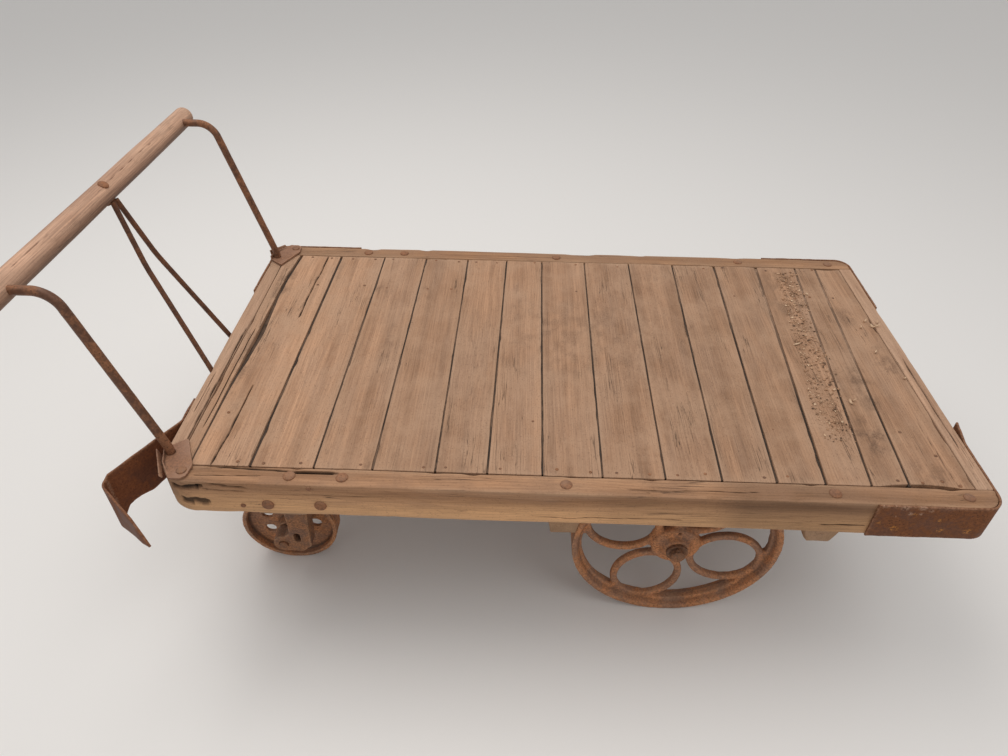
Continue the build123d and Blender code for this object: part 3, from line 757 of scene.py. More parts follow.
def split(face, start, end, half, depth, **more):
    # a split in one face: both its ends, as place along the grain and across it, half its width
    # and its depth; it looks black where it is as deep as darkAt
    usual = {"wander": 0.0, "soft": 0.0012, "taper": 0.02, "torn": 0.0, "darkAt": 0.003}
    return {"face": face, "line": (start, end), "half": half, "depth": depth, **usual, **more}


def splitDepth(along, beside, groove, seed):
    # a split runs from one point to another, wanders a little and has soft walls and ends
    (startAlong, startBeside), (endAlong, endBeside) = groove["line"]
    share = np.clip((along - startAlong) / (endAlong - startAlong), 0, 1)
    wander = groove["wander"] * lineNoise(along, weathering["wanderScale"], seed)
    middle = startBeside + (endBeside - startBeside) * share + wander
    soft, taper, fade = groove["soft"], groove["taper"], groove["taper"] * weathering["splitFade"]
    fromEnd = np.minimum(along - startAlong, endAlong - along)
    half = groove["half"] * np.clip(fromEnd / taper + weathering["splitEnd"], 0, 1)
    tornAlong, tornAcross = weathering["tornScales"]
    torn = np.stack([along * tornAlong, beside * tornAcross, beside * 0 + seed], axis=-1)
    outside = np.abs(beside - middle) - half - groove["torn"] * valueNoise(torn, seed + 1)
    ends = smoothStep(0, fade, along - startAlong) * smoothStep(0, fade, endAlong - along)
    return smoothStep(soft, -soft, outside) * ends * groove["depth"]


def makeTimber(name, outline, look, seed, material, slot, node, tone=1.0):
    # outline: start and end along the grain and functions for its low and high side, bottom, top
    # tone: one value, or stops of place along the grain and value
    places, insets, shrinks = timberRings(outline["start"], outline["end"], look["step"], look["round"])
    place, facing = sectionLoop(look["counts"], 4)
    low, high, bottom, top = (outline[key](places) for key in ("low", "high", "bottom", "top"))
    halfWide = ((high - low) / 2 - insets)[:, None]
    halfDeep = ((top - bottom) / 2 - insets)[:, None]
    corner = np.minimum(look["round"], np.minimum(halfWide, halfDeep))
    beside = (place[:, 0] * (halfWide - corner) + facing[:, 0] * corner) * shrinks[:, None]
    upward = (place[:, 1] * (halfDeep - corner) + facing[:, 1] * corner) * shrinks[:, None]
    drawIn = outline.get("slope", 0.0) * (halfDeep - upward) / (2 * halfDeep)
    beside = beside * (1 - drawIn / halfWide) + ((high + low) / 2)[:, None]
    upward = upward + ((top + bottom) / 2)[:, None]
    along = np.repeat(places[:, None], len(place), axis=1)
    facingBeside, facingUp = (np.repeat(facing[None, :, k], len(places), axis=0) for k in (0, 1))

    # distance from the nearest long edge, and from the ends
    fromSide = (1 - np.abs(place[:, 0])) * halfWide
    fromTop = (1 - np.abs(place[:, 1])) * halfDeep
    gap = np.where(np.abs(facingUp) > np.abs(facingBeside), fromSide, fromTop)
    fromEnd = np.minimum(along - outline["start"], outline["end"] - along)
    edge = np.maximum(np.exp(-gap / weathering["edgeReach"]), np.exp(-fromEnd / weathering["endReach"]))

    grid = np.stack([along, beside, upward], axis=-1)
    broad = valueNoise(grid * weathering["broadScale"], seed)
    ripple = valueNoise(grid * weathering["rippleScale"], seed + 1)
    chips = valueNoise(grid * weathering["chipScale"], seed + 2) - weathering["chipFrom"]
    sink = look["hollows"] * half01(broad) + look["ripple"] * half01(ripple)
    nearEdge = np.exp(-np.minimum(gap, fromEnd) / weathering["chipReach"])
    sink = sink + look["chips"] * np.clip(chips, 0, 1) ** 2 * nearEdge
    crack = np.zeros_like(sink)
    turnedTo = {"top": facingUp, "bottom": -facingUp, "low": -facingBeside, "high": facingBeside}
    for number, groove in enumerate(look.get("grooves", ())):
        across = beside if groove["face"] in ("top", "bottom") else upward
        cut = splitDepth(along, across, groove, seed + 10 + number)
        cut = cut * smoothStep(*weathering["splitFacing"], turnedTo[groove["face"]])
        crack = np.maximum(crack, smoothStep(0.0, groove["darkAt"], cut))
        sink = sink + cut
    sink = sink * (insets < look["round"])[:, None]
    beside = beside - facingBeside * sink
    upward = upward - facingUp * sink
    for bite in look.get("endBites", ()):
        # a shallow curve worn into one end
        fade = smoothStep(bite["fade"], 0, np.abs(along - outline[bite["end"]]))
        worn = np.clip(1 - ((beside - bite["middle"]) / bite["half"]) ** 2, 0, 1)
        along = along + (1 if bite["end"] == "start" else -1) * bite["depth"] * worn * fade

    points, faces = closedGrid(np.stack([along, beside, upward], axis=-1))
    # each timber reads the grain at a place of its own
    grain = points + np.random.default_rng(seed).uniform(-3, 3, 3)
    world, faces = outwards(points if outline["axis"] == "x" else points[:, [1, 0, 2]], faces)
    toneStops = np.array(tone if isinstance(tone, list) else [(0, tone)])
    attributes = {
        "grain": grain, "edge": withPoles(edge), "crack": withPoles(crack),
        "tone": np.interp(points[:, 0], *toneStops.T), "soil": soilAmount(world),
    }
    makePiece(name, world, faces, material, slot, [node], attributes)


def evenSide(value):
    return lambda places: np.full(len(places), value)


def straightSide(startPlace, startValue, endPlace, endValue):
    rise, run = endValue - startValue, endPlace - startPlace
    return lambda places: startValue + rise * (places - startPlace) / run


def curvedSide(stops):
    # an even curve through a few chosen places: straight lines between them, smoothed over 40 mm
    place, value = np.array(stops).T

    def side(places):
        shifts = np.linspace(-0.02, 0.02, 9)
        return np.mean([np.interp(places + shift, place, value) for shift in shifts], axis=0)
    return side


def pastEnds(places, start, end, radius):
    # how deep a quarter circle at either end has cut in at each place
    past = np.clip(np.maximum(start + radius - places, places - (end - radius)), 0, radius)
    return radius - np.sqrt(np.clip(radius * radius - past * past, 0, None))


def roundedSide(flat, inner, radius, start, end):
    # the outer side follows a quarter circle at both ends
    return lambda places: flat + np.sign(inner - flat) * pastEnds(places, start, end, radius)


# Deck boards; the wide gap beside the first board is crooked, worn hollow on its rear side
boards = {
    "count": 15, "step": 0.010, "round": 0.0016, "counts": (54, 4, 8, 4), "hollows": 0.0010,
    "ripple": 0.0004, "chips": 0.0035, "sag": 0.0016, "toneSpread": (0.92, 1.08),
    "endTones": {1: 1.22, 2: 1.22, 3: 1.12, 4: 1.05},
    "splits": {
        1: [split("top", (-0.30, -0.764), (0.05, -0.762), 0.0008, 0.004, wander=0.001)],
        2: [split("top", (-0.41, -0.710), (-0.16, -0.700), 0.0011, 0.006, wander=0.002),
            split("top", (0.10, -0.668), (0.41, -0.660), 0.0012, 0.006, wander=0.002)],
        14: [split("top", (-0.10, 0.655), (0.24, 0.668), 0.0005, 0.0015, wander=0.002)],
        15: [split("top", (-0.41, 0.748), (-0.22, 0.744), 0.0006, 0.0025, wander=0.001)],
    },
    "curved": {
        (1, "high"): [(-0.41, -0.7545), (0.00, -0.7520), (0.30, -0.7490), (0.41, -0.7390)],
        (2, "low"): [(-0.41, -0.7520), (-0.15, -0.7485), (-0.05, -0.7400), (0.03, -0.7345),
                     (0.19, -0.7430), (0.29, -0.7410), (0.41, -0.7315)],
    },
}
nearLens = {"end": "start", "middle": 0.674, "half": 0.078, "depth": 0.008, "fade": 0.09}
farLens = {"end": "end", "middle": 0.745, "half": 0.045, "depth": 0.007, "fade": 0.05}
boardEndBites = {13: [nearLens], 14: [nearLens, farLens], 15: [nearLens, farLens]}
boardRandom = np.random.default_rng(11)
deckEdges = []

for number in range(1, boards["count"] + 1):
    node = f"deck_board_{number:02d}"
    corners = nodeCorners(node)
    lowest, highest = corners.min(axis=0), corners.max(axis=0)
    nearEnd = corners[corners[:, 1] < lowest[1] + 0.001, 0]
    farEnd = corners[corners[:, 1] > highest[1] - 0.001, 0]
    lift = boardRandom.uniform(-boards["sag"], 0.0, 2)
    outline = {
        "axis": "y", "start": lowest[1], "end": highest[1], "bottom": evenSide(lowest[2]),
        "low": straightSide(lowest[1], nearEnd.min(), highest[1], farEnd.min()),
        "high": straightSide(lowest[1], nearEnd.max(), highest[1], farEnd.max()),
        "top": straightSide(lowest[1], highest[2] + lift[0], highest[1], highest[2] + lift[1]),
    }
    for which in ("low", "high"):
        if (number, which) in boards["curved"]:
            outline[which] = curvedSide(boards["curved"][number, which])
    look = dict(boards, grooves=boards["splits"].get(number, ()), endBites=boardEndBites.get(number, ()))
    tone = boardRandom.uniform(*boards["toneSpread"]) * boards["endTones"].get(number, 1.0)
    makeTimber(f"deckBoard{number:02d}", outline, look, 100 + number, deckWood, "deck_wood", node, tone)
    deckEdges.append(outline)

# Dust and crumbs packed into the joints between the boards, dark enough to stand in as painted shade
# where the floor would show through; a wide gap is filled less high, and towards the far rear corner
# the joints are trodden full
jointFill = {
    "overlap": 0.0008, "top": -0.0026, "full": -0.0008, "bottom": -0.017, "around": (4, 1, 1, 1),
    "step": 0.003, "rough": 0.0014, "lumpScale": 90, "endGap": 0.004, "narrow": 0.003, "wideDrop": 0.75,
    "fullFromX": (0.42, 0.52), "fullFromY": (-0.12, 0.04), "broadScale": (30, 12, 30),
    "toneRange": (-1.2, 1.8), "toneShares": (0.6, 0.4),
}


def settledAmount(x, y):
    return smoothStep(*jointFill["fullFromX"], x) * smoothStep(*jointFill["fullFromY"], y)


def packedJoint(before, after, seed):
    # a strip from one board's edge to the next one's, lumpy on top
    place, _ = sectionLoop(jointFill["around"], 1)
    endGap = jointFill["endGap"]
    along = np.arange(before["start"] + endGap, before["end"] - endGap, jointFill["step"])
    low = before["high"](along) - jointFill["overlap"]
    high = after["low"](along) + jointFill["overlap"]
    beside = (low + high)[:, None] / 2 + place[None, :, 0] * (high - low)[:, None] / 2
    settled = settledAmount(low, along) * (jointFill["full"] - jointFill["top"])
    lumps = jointFill["rough"] * half01(lineNoise(along, jointFill["lumpScale"], seed))
    drop = jointFill["wideDrop"] * np.maximum(high - low - jointFill["narrow"], 0)
    depth = (jointFill["top"] + settled - lumps - drop)[:, None]
    upward = np.where(place[None, :, 1] > 0, depth, jointFill["bottom"])
    return closedGrid(np.stack([beside, np.repeat(along[:, None], len(place), axis=1), upward], axis=-1))


neighbours = zip(deckEdges, deckEdges[1:])
joints = [packedJoint(before, after, 300 + number) for number, (before, after) in enumerate(neighbours)]
points, faces = mergeParts(joints)
lumpy = 0.5 * valueNoise(points * jointFill["lumpScale"], 9)
lumpy = lumpy + valueNoise(points * jointFill["broadScale"], 10)
lumpyShare, settledShare = jointFill["toneShares"]
tone = lumpyShare * smoothStep(*jointFill["toneRange"], lumpy)
tone = tone + settledShare * settledAmount(points[:, 0], points[:, 1])
makePiece("deckJointDirtAndShade", points, faces, packedDirtAndShade, "deck_wood", attributes={"tone": tone})

print("deck boards laid")

# Side sills with the platform's round corners. The near one's handle end is broken where the
# torn band has laid it bare, and its corner is worn to a wider curve, as far in as the end rail.
sills = {
    "step": 0.0048, "round": 0.0035, "counts": (24, 44, 8, 44), "hollows": 0.0018, "ripple": 0.0006,
    "chips": 0.006, "cornerRadius": 0.034, "wornCorner": 0.076, "wornStart": 0.006, "leastWidth": 0.003,
    # tones along x: the dark stretch from x 0.26 to 0.62 is painted shadow with some oil stain, the lighter
    # one from x -0.50 to 0.05 is painted light
    "tones": [(-0.80, 0.93), (-0.68, 0.95), (-0.50, 1.08), (-0.25, 1.15), (0.02, 1.16), (0.08, 0.98),
              (0.26, 0.98), (0.33, 0.64), (0.46, 0.68), (0.54, 0.76), (0.62, 0.90), (0.80, 0.95)],
}
brokenWood = {"taper": 0.006, "soft": 0.003, "torn": 0.004}
sillSplits = {
    "near": [
        split("low", (-0.782, -0.025), (-0.715, -0.012), 0.0050, 0.007,
              **dict(brokenWood, darkAt=0.0085, wander=0.002, soft=0.0022)),
        split("low", (-0.732, -0.014), (-0.715, -0.010), 0.0060, 0.008,
              **dict(brokenWood, darkAt=0.006, wander=0.001, soft=0.002)),
        split("low", (-0.769, -0.060), (-0.742, -0.058), 0.0075, 0.005,
              **dict(brokenWood, darkAt=0.0065, torn=0.003)),
        split("low", (-0.743, -0.055), (-0.711, -0.059), 0.0085, 0.006,
              **dict(brokenWood, darkAt=0.008, torn=0.003)),
        split("low", (-0.712, -0.005), (-0.625, -0.016), 0.0026, 0.005,
              wander=0.002, taper=0.03, darkAt=0.009, torn=0.002, soft=0.002),
        split("low", (-0.722, -0.020), (-0.632, -0.025), 0.0012, 0.003,
              wander=0.002, darkAt=0.005, torn=0.001),
        split("low", (-0.60, -0.032), (-0.36, -0.026), 0.0006, 0.002, wander=0.002),
        split("top", (-0.552, -0.420), (-0.455, -0.421), 0.0030, 0.010, wander=0.001, darkAt=0.006),
        split("top", (-0.719, -0.412), (-0.55, -0.419), 0.0014, 0.005, wander=0.001),
        split("top", (-0.74, -0.438), (-0.60, -0.434), 0.0008, 0.003, wander=0.002),
        split("low", (-0.08, -0.070), (0.22, -0.067), 0.0006, 0.003, wander=0.003),
        split("low", (0.48, -0.067), (0.57, -0.064), 0.0012, 0.004, wander=0.002),
        split("top", (0.10, -0.440), (0.36, -0.436), 0.0006, 0.003, wander=0.002),
    ],
    "far": [
        split("high", (-0.50, -0.040), (-0.21, -0.037), 0.0004, 0.0014, wander=0.003),
        split("high", (0.34, -0.060), (0.58, -0.056), 0.0004, 0.0014, wander=0.003),
        split("top", (-0.35, 0.430), (-0.02, 0.434), 0.0006, 0.002, wander=0.002),
    ],
}


def boxOutline(node, axis):
    low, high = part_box(node)
    run, across = (0, 1) if axis == "x" else (1, 0)
    return {"axis": axis, "start": low[run], "end": high[run], "low": evenSide(low[across]),
            "high": evenSide(high[across]), "bottom": evenSide(low.z), "top": evenSide(high.z)}


def wornSillSide(tight, wide, inner):
    # the wide curve at the handle end and the tight one at the rear, never thinner than a strip
    return lambda places: np.minimum(np.where(places < 0, wide(places), tight(places)),
                                     inner - sills["leastWidth"])


for sideName in sides:
    node = f"side_sill_{sideName}"
    outline = boxOutline(node, "x")
    start, end = outline["start"], outline["end"]
    low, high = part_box(node)
    look = dict(sills, grooves=sillSplits[sideName])
    if sideName == "near":
        tight = roundedSide(low.y, high.y, sills["cornerRadius"], start, end)
        wide = roundedSide(low.y, high.y, sills["wornCorner"], start, 2 * end)
        outline["low"] = wornSillSide(tight, wide, high.y)
        outline["start"] = start + sills["wornStart"]
        makeTimber("sideSill_near", outline, look, 31, sillWood, "sill_wood", node, sills["tones"])
    else:
        outline["high"] = roundedSide(high.y, low.y, sills["cornerRadius"], start, end)
        makeTimber("sideSill_far", outline, look, 37, sillWood, "sill_wood", node)

# End rails; the one at the handle is worn round beside the worn sill
rails = {
    "step": 0.008, "round": 0.003, "counts": (18, 30, 8, 30), "hollows": 0.0014, "ripple": 0.0005,
    "chips": 0.004, "wornCorner": 0.016,
}
railSplits = {
    "end_rail_handle": [
        split("top", (-0.41, -0.7830), (0.05, -0.7830), 0.0016, 0.010, wander=0.001, darkAt=0.006),
        split("top", (-0.26, -0.800), (-0.12, -0.799), 0.0006, 0.003, wander=0.001),
    ],
    "end_rail_rear": [split("top", (-0.30, 0.795), (0.00, 0.797), 0.0008, 0.004, wander=0.001)],
}
for number, (node, splits) in enumerate(railSplits.items()):
    outline = boxOutline(node, "y")
    if node == "end_rail_handle":
        low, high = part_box(node)
        outline["low"] = roundedSide(low.x, high.x, rails["wornCorner"], low.y, 2 * high.y)
    look = dict(rails, grooves=splits)
    makeTimber(f"endRail{number + 1}", outline, look, 41 + number, railWood, "sill_wood", node)

# Timbers under the deck: lengthways first, then the bolsters, whose lower edge turns up at both
# ends where they have a slope
underTimbers = {
    "step": 0.03, "round": 0.003, "counts": (8, 8, 8, 8), "hollows": 0.0015, "ripple": 0.0, "chips": 0.004,
    "tone": 0.85,
}
lengthwaysKinds = ("side_ledger", "stringer", "axle_beam")
bolsters = dict(underTimbers, step=0.012, counts=(16, 12, 12, 12), round=0.004, endRise=0.016)
bolsterSlopes = {"axle_bolster_front": 0.008, "axle_bolster_rear": 0.017, "caster_bolster": 0.0}


def risingEnds(level, start, end, rise):
    return lambda places: level + pastEnds(places, start, end, rise)


def makeUnder(node, outline, look, seed):
    makeTimber(f"under_{node}", outline, look, seed, underWood, "under_wood", node, look["tone"])


for number, node in enumerate(f"{kind}_{sideName}" for kind in lengthwaysKinds for sideName in sides):
    makeUnder(node, boxOutline(node, "x"), underTimbers, 51 + number)
for number, (node, slope) in enumerate(bolsterSlopes.items()):
    outline = dict(boxOutline(node, "y"), slope=slope)
    if slope > 0:
        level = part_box(node)[0].z
        outline["bottom"] = risingEnds(level, outline["start"], outline["end"], bolsters["endRise"])
    makeUnder(node, outline, bolsters, 61 + number)

print("frame timbers made")

# Crossbar: a hand-worn round timber, a little out of round, with drying splits along it. A
# split is a turn round the bar, counted from +X over the top, where it starts and ends, half its
# width and its depth.
bar = {
    "half": 0.440, "radius": 0.024, "shift": (0.003, 0.0, -0.003), "endRound": 0.003, "step": 0.004,
    "around": 88, "outOfRound": 0.0014, "ripple": 0.0004, "edgeReach": 0.006,
    "splits": [(2.10, -0.33, -0.02, 0.0005, 0.0022), (2.45, 0.06, 0.40, 0.0005, 0.0022),
               (1.25, -0.40, -0.22, 0.0004, 0.0018), (0.95, -0.05, 0.22, 0.0004, 0.0018),
               (3.30, -0.30, 0.30, 0.0006, 0.0030)],
    "splitLook": {"wander": 0.0025, "soft": 0.0008}, "broadScales": (6, 0.9), "rippleScales": (24, 9),
    # the underside tone and the top gain on the next line are painted shade and painted light
    "patchPlace": -0.31, "patchHalf": 0.05, "patchGain": 0.25, "shadedUnderTone": 0.50, "litTopGain": 0.60,
    "endTone": 0.8,
}
barMiddle = sum(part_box("handle_crossbar"), Vector()) / 2 + Vector(bar["shift"])


def ringNoise(along, lap, alongScale, roundScale, seed, shift=0):
    # noise along and round a bar that meets itself after each lap
    parts = along * alongScale, np.cos(lap) * roundScale, np.sin(lap) * roundScale + shift
    return valueNoise(np.stack(np.broadcast_arrays(*parts), axis=-1), seed)


def makeCrossbar():
    places, insets, shrinks = timberRings(-bar["half"], bar["half"], bar["step"], bar["endRound"])
    lap = np.linspace(0, math.tau, bar["around"], endpoint=False)[None, :]
    along = np.repeat(places[:, None], bar["around"], axis=1)
    sink = bar["outOfRound"] * half01(ringNoise(along, lap, *bar["broadScales"], 71))
    sink = sink + bar["ripple"] * half01(ringNoise(along, lap, *bar["rippleScales"], 72))
    crack = np.zeros_like(along)
    for number, (turn, start, end, half, depth) in enumerate(bar["splits"]):
        beside = turn * bar["radius"]
        groove = split("bar", (start, beside), (end, beside), half, depth, **bar["splitLook"])
        cut = splitDepth(along, lap * bar["radius"] + 0 * along, groove, 75 + number)
        crack = np.maximum(crack, smoothStep(0.0, groove["darkAt"], cut))
        sink = sink + cut
    sink = sink * (shrinks == 1)[:, None]
    radius = (bar["radius"] - insets)[:, None] * shrinks[:, None] - sink
    grain, faces = closedGrid(np.stack([along, radius * np.cos(lap), radius * np.sin(lap)], axis=-1))
    edge = np.exp(-np.minimum(along + bar["half"], bar["half"] - along) / bar["edgeReach"])
    # a hand has rubbed a pale patch on the top beside the near rod; the underside is darkened as painted
    # shade and the top lightened as painted light
    patch = np.exp(-((along - bar["patchPlace"]) / bar["patchHalf"]) ** 2)
    patch = patch * smoothStep(0.2, 0.9, np.sin(lap))
    paintedShading = bar["shadedUnderTone"] + bar["litTopGain"] * smoothStep(-0.8, 0.7, np.sin(lap)) + 0 * along
    tone = withPoles(paintedShading * (1 + bar["patchGain"] * patch), bar["endTone"])
    world = np.stack([grain[:, 1] + barMiddle.x, grain[:, 0], grain[:, 2] + barMiddle.z], axis=1)
    attributes = {"grain": grain, "edge": withPoles(edge), "crack": withPoles(crack), "tone": tone}
    makePiece("crossbar", *outwards(world, faces), barWood, "bar_wood", ["handle_crossbar"], attributes)


makeCrossbar()

# Bent rods, from their foot in the end rail up and into the crossbar
rods = {
    "corners": [(-0.797, -0.050), (-0.797, 0.016), (-0.893, 0.380), (-0.975, 0.380)],
    "bends": (0.045, 0.045), "across": 0.385, "radius": 0.009, "step": 0.004, "around": 28, "worn": 0.0004,
    "wornScales": (60, 3),
}
for sideName, side in sides.items():
    corners = [(x, side * rods["across"], z) for x, z in rods["corners"]]
    path = roundedPath(corners, rods["bends"], rods["step"])
    lap = np.linspace(0, math.tau, rods["around"], endpoint=False)[None, :]
    reach = np.arange(len(path))[:, None] * rods["step"]
    radius = rods["radius"] - rods["worn"] * half01(ringNoise(reach, lap, *rods["wornScales"], 81, side))
    points, faces = outwards(*closedGrid(carryRound(path, radius, rods["around"])))
    makePiece(f"handleRod_{sideName}", points, faces, rodIron, "rod_steel", [f"handle_rod_{sideName}"])

# Heads and shafts: low shells turned about the way they face, each with its number of corners,
# none for a round one, and stops of radius and height
headShapes = {
    "dome": (0, [(1.0, -0.4), (1.0, 0.25), (0.93, 0.52), (0.75, 0.80), (0.42, 0.97), (0.15, 1.0)]),
    "hex": (6, [(1.0, -0.4), (1.0, 0.72), (0.90, 0.98), (0.50, 1.0), (0.2, 0.9)]),
    "shaft": (0, [(1.0, -1.0), (1.0, 0.9), (0.86, 1.0), (0.4, 1.0)]),
}


def headShell(place, facing, radius, height, shape, turn=0.0, around=24):
    # height and radius scale the profile; turn spins the head about the way it faces
    cornerCount, profile = headShapes[shape]
    facing = np.array(facing, float) / np.linalg.norm(facing)
    side = np.cross(facing, (0.0, 1.0, 0.0) if abs(facing[1]) < 0.9 else (1.0, 0.0, 0.0))
    side /= np.linalg.norm(side)
    other = np.cross(facing, side)
    lap = np.linspace(0, math.tau, around, endpoint=False)
    swell = np.ones(around)
    if cornerCount:
        # straight sides between the corners, the corners a little eased
        sector = math.tau / cornerCount
        swell = np.minimum(math.cos(sector / 2) / np.cos(lap % sector - sector / 2), 0.97)
    share, level = np.array(profile).T
    reach = radius * share[:, None] * swell[None, :]
    spokes = np.cos(lap + turn)[:, None] * side + np.sin(lap + turn)[:, None] * other
    return closedGrid(np.array(place) + level[:, None, None] * height * facing + reach[..., None] * spokes)


# V brace: two thin rods from one eye under the crossbar, bent down in front of the end rail
braces = {
    "eye": (-0.985, 0.0, 0.356), "eyeSize": (0.0155, 0.003), "start": -0.969, "radius": 0.006,
    "footX": -0.819, "footZ": -0.045, "bendZ": -0.020, "bow": (-0.008, 0.0, -0.010),
    "bendRadii": (0.35, 0.022), "feet": [(-0.007, -0.100), (0.007, 0.035)], "footSize": (0.0135, 0.006),
    "footOut": 0.002, "step": 0.005,
    "cast": {"voxel": 0.0013, "passes": 5, "ease": 0.12, "rough": 0.00015, "pits": 0.0002},
}
braceParts = [headShell(braces["eye"], (0, 0, 1), *braces["eyeSize"], "shaft")]
for startY, footY in braces["feet"]:
    start = np.array((braces["start"], startY, braces["eye"][2]))
    bend = np.array((braces["footX"], footY, braces["bendZ"]))
    middle = start + (bend - start) / 3 + np.array(braces["bow"])
    foot = np.array((braces["footX"], footY, braces["footZ"]))
    path = roundedPath([start, middle, bend, foot], braces["bendRadii"], braces["step"])
    braceParts.append(closedGrid(carryRound(path, braces["radius"], 20)))
    footPlace = foot + (braces["footOut"], 0, 0)
    braceParts.append(headShell(footPlace, (-1, 0, 0), *braces["footSize"], "dome"))
points, faces, attributes = castSkin(*mergeParts(braceParts), braces["cast"], 91)
makePiece("handleBrace", points, faces, braceIron, "rod_steel", ["handle_brace"], attributes)

# The bolt that holds the brace's eye leans through the crossbar, its head turned to the rear
braceBolt = {
    "lean": math.radians(62), "aside": -0.014, "sunk": 0.023, "head": (0.0105, 0.0038), "radius": 0.0055,
    "nut": (0.009, 0.006), "nutPlace": (-0.985, 0.0, 0.352),
}
headFacing = np.array((math.cos(braceBolt["lean"]), 0.0, math.sin(braceBolt["lean"])))
headPlace = np.array((barMiddle.x, braceBolt["aside"], barMiddle.z)) + braceBolt["sunk"] * headFacing
shaft = np.linspace(headPlace, braceBolt["nutPlace"], 6)
points, faces = mergeParts([
    headShell(headPlace, headFacing, *braceBolt["head"], "dome"),
    headShell(braceBolt["nutPlace"], (0, 0, -1), *braceBolt["nut"], "hex"),
    closedGrid(carryRound(shaft, braceBolt["radius"], 16)),
])
makePiece("braceBolt", points, faces, boltIron, "rod_steel", ["brace_bolt"])

print("handle made")

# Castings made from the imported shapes, one on each side: worn corners, filled inner corners,
# sandy skin. Where no body is named they belong to the truck.
castings = {
    "handle_socket": {"voxel": 0.0011, "passes": 6, "rough": 0.0003, "pits": 0.0005,
                      "material": socketIron, "slot": "band_steel"},
    "axle_pedestal": {"voxel": 0.0022, "passes": 10, "rough": 0.0004, "pits": 0.0006},
    "caster_plate": {"voxel": 0.0022, "passes": 4, "rough": 0.0003, "pits": 0.0005},
    "caster_fork": {"voxel": 0.0019, "passes": 7, "rough": 0.0004, "pits": 0.0007, "body": "fork"},
    "caster_wheel": {"voxel": 0.0021, "passes": 8, "rough": 0.0004, "pits": 0.0007, "body": "roller",
                     "material": wheelIron, "slot": "wheel_iron"},
}
usualCasting = {"ease": 0.14, "material": casterIron, "slot": "caster_iron", "body": None}
# the lip of a socket plate stands up and leans out beside the rod: its two ends, its height there
lip = {
    "from": (-0.8155, 0.390), "to": (-0.7900, 0.4500), "lean": 0.004, "height": (0.021, 0.007),
    "foot": 0.001, "half": 0.0016, "crown": 1.06,
}


def lipShell(side):
    share = np.linspace(0, 1, 14)[:, None]
    start, end = np.array(lip["from"]) * (1, side), np.array(lip["to"]) * (1, side)
    run = (end - start) / np.linalg.norm(end - start)
    out = np.array((-run[1], run[0])) * side
    line = start + (end - start) * share
    top = lip["height"][0] + (lip["height"][1] - lip["height"][0]) * share
    section = []
    for across, high in ((-1, 0), (1, 0), (1, 1), (0, lip["crown"]), (-1, 1)):
        flat = line + out * (across * lip["half"] + high * lip["lean"])
        section.append(np.concatenate([flat, lip["foot"] + high * (top - lip["foot"])], axis=1))
    return closedGrid(np.stack(section, axis=1))


castingSeed = 401
for kind, casting in castings.items():
    cast = dict(usualCasting, **casting)
    for sideName, side in sides.items():
        node = f"{kind}_{sideName}"
        shells = [mergedNode(node)]
        if kind == "handle_socket":
            shells.append(lipShell(side))
        points, faces, attributes = castSkin(*mergeParts(shells), cast, castingSeed)
        body = f"{cast['body']}_{sideName}" if cast["body"] else truckBody
        makePiece(f"cast_{node}", points, faces, cast["material"], cast["slot"], [node], attributes, body)
        castingSeed += 5

print("castings made")

# Big wheels: tread with an inner rib, four oval loops for spokes, stepped hub with an oil hole.
# The near wheel is built about its own centre, its short hub end towards -Y.
bigWheel = {
    "centre": (0.2535, 0.341, -0.275), "tread": 0.233, "treadInner": 0.218, "treadHalf": 0.025,
    "treadLip": 0.005, "rib": 0.209, "webHalf": 0.009, "loopCentre": 0.13175, "loopLength": 0.08125,
    "loopWidth": 0.07287, "bandHalf": 0.009, "squareness": 0.6, "loops": 4, "firstTurn": -22.5,
    "bore": 0.016, "boss": 0.031, "flange": 0.055, "hubStep": 0.004, "hubOuter": 0.029,
    "hubInner": 0.042, "flangeHalf": 0.018, "turnedCount": 180, "lapCount": 96, "ringCount": 20,
    "oilHole": {"x": 0.0025, "z": 0.044, "edge": (0.0045, 0.0025), "beyond": -0.008, "depth": 0.006},
    "cast": {"voxel": 0.0024, "passes": 18, "ease": 0.10, "rough": 0.0005, "pits": 0.0009},
}


def hubAndRim(wheel):
    # closed profiles of radius and place along the axle: the tread, its inner rib, the stepped hub
    half, lipDepth, webHalf = wheel["treadHalf"], wheel["treadLip"], wheel["webHalf"]
    tread, treadInner, inner = wheel["tread"], wheel["treadInner"], wheel["treadInner"] + wheel["treadLip"]
    rim = [(tread, -half), (tread, half), (inner, half), (treadInner, half - lipDepth),
           (treadInner, lipDepth - half), (inner, -half)]
    rib = [(wheel["rib"], -webHalf), (inner, -webHalf), (inner, webHalf), (wheel["rib"], webHalf)]
    step, boss, outer, hubInner = wheel["hubStep"], wheel["boss"], wheel["hubOuter"], wheel["hubInner"]
    flange, flangeHalf = wheel["flange"], wheel["flangeHalf"]
    hub = [(wheel["bore"], -outer), (boss - step, -outer), (boss, step - outer), (boss, -flangeHalf),
           (flange - step, -flangeHalf), (flange, step - flangeHalf), (flange, flangeHalf - step),
           (flange - step, flangeHalf), (boss, flangeHalf), (boss, hubInner), (wheel["bore"], hubInner)]
    return [turnedRing(np.array(profile), wheel["turnedCount"]) for profile in (rim, rib, hub)]


def squarish(values, power):
    # a cosine or sine that keeps its sign and is drawn out towards the corners
    return np.sign(values) * np.abs(values) ** power


